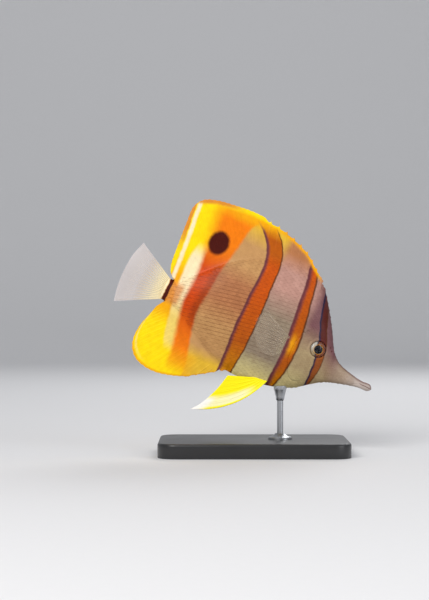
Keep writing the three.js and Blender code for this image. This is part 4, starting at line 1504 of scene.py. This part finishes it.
def eyeball_rings(v):
    """From the back of the eye round to the middle of the pupil, which bulges from a flatter iris."""
    angle = np.pi * v
    ring = np.sin(angle)
    out = -1.9 - 2.7 * np.cos(angle)
    pupil = (1 - smooth(ring, 0.42, 0.55)) * np.sqrt(np.clip(1 - (ring / 0.55) ** 2, 0, 1))
    iris = 0.35 * hump(ring - 0.86, 0.14) + 0.6 * pupil
    flat = np.where(v > 0.5, np.minimum(out, 0.15) + iris, out)
    return np.where(at_ends(v), 0, ring), flat


def cornea_rings(v):
    """A thin closed dome over the iris."""
    _, turn = folded(v)
    angle = np.pi / 2 * (1 - turn)
    thick = np.where(v < 0.5, 0.0, -0.12)
    ring = np.cos(np.pi / 2 - angle) * (1 + thick * 0.1)
    return np.where(at_ends(v), 0, ring) * 0.98, -0.35 + 1.9 * np.cos(angle) + thick


def eye_material():
    """The band's colour where it crosses the iris, silver behind it and paler above as a painted highlight, and
    a blue-black pupil in a thin ring.
    """
    made, tree = new_material("eye")
    tone, space = colours(), fish_space(tree)
    s, _, h = space.axes()
    ds, dh = s - EYE_AT[0], h - EYE_AT[1]
    away = (ds * ds + dh * dh).math("SQRT")
    across = dh * 0.22 + ds
    grain = space.noise(1.8, 4.0).step(0.35, 0.7)
    # The iris behind the band: its own silver, paler on its upper part as a painted highlight.
    silver = dh.step(0.5, -3.0).mix(tone.iris, tone.head)
    silver = (grain * 0.35).mix(silver, tone.head)
    iris = across.step(-1.3, -0.7).mix(silver, grain.mix(tone.rust, tone.maroon))
    line = across.step(-1.7, -1.2) * across.step(-0.4, -0.9)
    iris = (line * 0.8).mix(iris, tone.eye_shadow)
    iris = (away.step(4.0, 4.8) * 0.35).mix(iris, tone.maroon)
    ring = away.step(2.35, 2.5) * away.step(2.9, 2.65)
    iris = (ring * 0.55).mix(iris, tone.amber)
    colour = away.step(2.5, 2.3).mix(iris, tone.pupil)
    surface(tree, colour, 0.25, coat=0.25, coat_roughness=0.04, specular=0.2)
    return made


def cornea_material():
    made, tree = new_material("cornea")
    surface(tree, (0.02, 0.02, 0.03), 0.02, alpha=0.08, specular=0.8)
    return made


class FISH_OT_eyes(bpy.types.Operator):
    """Builds each eye: an iris and bulging pupil under a clear cornea"""

    bl_idname = "fish.eyes"
    bl_label = "Eyes"

    def execute(self, context):
        iris, cornea = eye_material(), cornea_material()
        for side, sign in SIDES:
            finish_piece(dome(f"eyeball_{side}", sign, eyeball_rings), "eye", iris, f"eye_{side}")
            finish_piece(dome(f"cornea_{side}", sign, cornea_rings), "eye", cornea)
        return {"FINISHED"}


# Stand


def black_material():
    """Satin black plate with faint unevenness in its gloss."""
    made, tree = new_material("stand_black")
    space = object_space(tree)
    cloud = space.noise(60.0, 4.0)
    colour = (cloud * 0.4).mix(colours().base, (0.03, 0.03, 0.033))
    normal = space.noise(1400.0, 2.0).bump(0.08)
    surface(tree, colour, cloud.between(0.3, 0.42), normal=normal, coat=0.2, coat_roughness=0.15)
    return made


def steel_material():
    """Brushed steel, with the brushing round the rod."""
    made, tree = new_material("stand_steel")
    rings = object_space(tree)
    rings = rings.then("ShaderNodeMapping", {"Vector": rings, "Scale": (40, 40, 9000)})
    brushed = rings.noise(1.0, 3.0)
    colour = (brushed * 0.25).mix(colours().steel, (0.32, 0.33, 0.35))
    surface(tree, colour, brushed.between(0.22, 0.38), metallic=1.0, normal=brushed.bump(0.05))
    return made


def fitted_box(name, node, corner, bevel):
    """A plate filling a CAD node's box, with rounded corners and eased edges."""
    low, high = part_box(node)
    pick_none()
    bpy.ops.mesh.primitive_cube_add(size=1, location=(low + high) / 2, scale=high - low)
    made = named(name)
    bpy.ops.object.transform_apply(location=True, rotation=True, scale=True)
    rims = (
        (lambda a, b: abs(a.z - b.z) > 1e-4, corner, 14),
        (lambda a, b: min(a.z, b.z) > high.z - 1e-5, bevel, 4),
        (lambda a, b: max(a.z, b.z) < low.z + 1e-5, 0.4, 2),
    )
    for wanted, offset, segments in rims:
        bpy.ops.object.mode_set(mode="EDIT")
        bpy.ops.mesh.select_mode(type="EDGE")
        bpy.ops.mesh.select_all(action="DESELECT")
        bpy.ops.object.mode_set(mode="OBJECT")
        for edge in made.data.edges:
            edge.select = wanted(*(made.data.vertices[i].co for i in edge.vertices))
        bpy.ops.object.mode_set(mode="EDIT")
        bpy.ops.mesh.bevel(offset=offset * MM, segments=segments, affect="EDGES")
        bpy.ops.object.mode_set(mode="OBJECT")
    soften(35)
    return made


def turned_piece(name, outline, x):
    """A turned piece on a vertical axis: outline is (radius, height) pairs in millimetres, axis to axis."""
    made = mesh_from(name, np.array([(x + r, 0, z) for r, z in outline]) * MM)
    edit_all(lambda: bpy.ops.mesh.spin(steps=64, angle=2 * math.pi, center=(x * MM, 0, 0), axis=(0, 0, 1)))
    tidy_mesh(1e-6)
    soften(30)
    return made


class FISH_OT_stand(bpy.types.Operator):
    """Builds the display stand: base plate, foot, rod and cup"""

    bl_idname = "fish.stand"
    bl_label = "Stand"

    def execute(self, context):
        plate = fitted_box("stand_plate", "stand_base", 10, 1.2)
        finish_piece(plate, "stand_black", black_material(), "stand_base")
        rod_low, rod_high = (np.array(c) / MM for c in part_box("stand_rod"))
        foot_low, foot_high = (np.array(c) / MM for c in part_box("stand_foot"))
        cup_low, cup_high = (np.array(c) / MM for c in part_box("stand_cup"))
        x = (rod_low[0] + rod_high[0]) / 2
        spans = ((rod_low, rod_high), (foot_low, foot_high), (cup_low, cup_high))
        rod, foot, cup = ((high[0] - low[0]) / 2 for low, high in spans)
        foot_end, foot_top = foot_low[2] - 0.25, foot_high[2]
        cup_end, cup_top = cup_low[2], cup_high[2] - 0.4
        rod_end, rod_top = rod_low[2] - 0.3, rod_high[2] + 0.3
        turned = {
            ("stand_flange", "stand_foot"): [
                (0, foot_end), (foot, foot_end), (foot, foot_end + 0.9), (foot - 0.3, foot_end + 1.25),
                (foot * 0.62, foot_end + 2), (rod + 0.9, foot_top), (0, foot_top),
            ],
            ("stand_post", "stand_rod"): [(0, rod_end), (rod, rod_end), (rod, rod_top), (0, rod_top)],
            ("stand_saddle", "stand_cup"): [
                (0, cup_end), (rod + 0.2, cup_end), (rod + 0.5, cup_end + 0.4), (rod + 0.7, cup_end + 2),
                (cup - 0.3, cup_top - 2.4), (cup, cup_top - 1.8), (cup, cup_top), (0, cup_top),
            ],
        }
        steel = steel_material()
        for (name, node), outline in turned.items():
            finish_piece(turned_piece(name, outline, x), "stand_steel", steel, node)
        return {"FINISHED"}


# Stage

SENSOR = 36
SKY = (0.9, 0.92, 0.95, 1)


def backdrop():
    """A pale floor that curves up into a backdrop."""
    run, radius, wall = 1.3, 0.6, 3.0
    arc = [(run + radius * math.sin(t), radius * (1 - math.cos(t))) for t in np.linspace(0, math.pi / 2, 24)]
    outline = [(-4.0, 0), *arc, (run + radius, wall)]
    made = mesh_from("backdrop", [(-4, y, z) for y, z in outline])
    edit_all(lambda: bpy.ops.mesh.extrude_region_move(TRANSFORM_OT_translate={"value": (8, 0, 0)}))
    bpy.ops.object.shade_smooth()
    look, tree = new_material("backdrop")
    grain = object_space(tree).noise(220.0, 3.0)
    colour = (grain * 0.08).mix(colours().paper, (0.6, 0.6, 0.6))
    surface(tree, colour, 0.75, specular=0.2, normal=grain.bump(0.05, 0.3 * MM))
    made.data.materials.append(look)
    return made


def softbox(name, place, target, size, power, tint):
    """A soft rectangular light that faces a point."""
    light = bpy.data.lights.new(name, "AREA")
    light.shape = "RECTANGLE"
    light.size, light.size_y = size
    light.energy = power
    light.color = tint
    made = add_object(name, light)
    made.location = place
    made.rotation_euler = (Vector(target) - Vector(place)).to_track_quat("-Z", "Y").to_euler()


class FISH_OT_stage(bpy.types.Operator):
    """Sets the floor, the soft lights and the camera at the photograph's angle"""

    bl_idname = "fish.stage"
    bl_label = "Stage"

    def execute(self, context):
        stage = context.scene.fish_stage
        backdrop()
        middle = Vector((stage.middle_x, 0, stage.middle_z))
        softbox("key", (-0.5, -1.0, 0.8), middle, (0.7, 0.5), stage.key, (1, 0.98, 0.95))
        softbox("fill", (0.9, -0.7, 0.35), middle, (0.6, 0.6), stage.fill, (0.96, 0.98, 1))
        softbox("back", (0.3, 0.8, 0.7), middle, (0.6, 0.4), stage.fill, (1, 1, 1))
        world = bpy.data.worlds.new("studio")
        world.use_nodes = True
        background = world.node_tree.nodes["Background"].inputs
        background["Color"].default_value = SKY
        background["Strength"].default_value = stage.ambient
        context.scene.world = world
        context.scene.view_settings.view_transform = "Standard"
        camera = bpy.data.cameras.new("camera")
        camera.lens = stage.lens
        camera.sensor_width = SENSOR
        holder = add_object("camera", camera)
        distance = stage.frame_height * stage.lens / SENSOR
        holder.location = middle - Vector((0, distance, 0))
        holder.rotation_euler = (math.pi / 2, 0, 0)
        context.scene.camera = holder
        return {"FINISHED"}


class FISH_PT_panel(bpy.types.Panel):
    """Lists the fish's building steps and settings"""

    bl_idname = "FISH_PT_panel"
    bl_label = "Copperband butterflyfish"
    bl_space_type = "VIEW_3D"
    bl_region_type = "UI"
    bl_category = "Fish"

    def draw(self, context):
        for step in STEPS:
            self.layout.operator(step.bl_idname)
        for group, kind in GROUPS.items():
            box = self.layout.box()
            for key in kind.__annotations__:
                box.prop(getattr(context.scene, group), key)


STEPS = (
    FISH_OT_skin, FISH_OT_scales, FISH_OT_median_fins, FISH_OT_tail_fin, FISH_OT_paired_fins, FISH_OT_eyes,
    FISH_OT_stand, FISH_OT_stage,
)
GROUPS = {"fish_sizes": FishSizes, "fish_stage": StageSettings, "fish_colours": FishColours}


def register():
    for cls in (*GROUPS.values(), *STEPS, FISH_PT_panel):
        bpy.utils.register_class(cls)
    for key, group in GROUPS.items():
        setattr(bpy.types.Scene, key, PointerProperty(type=group))


def unregister():
    for key in GROUPS:
        delattr(bpy.types.Scene, key)
    for cls in reversed((*GROUPS.values(), *STEPS, FISH_PT_panel)):
        bpy.utils.unregister_class(cls)


def main():
    register()
    for step in STEPS:
        group, name = step.bl_idname.split(".")
        getattr(getattr(bpy.ops, group), name)()


if __name__ == "__main__":
    main()
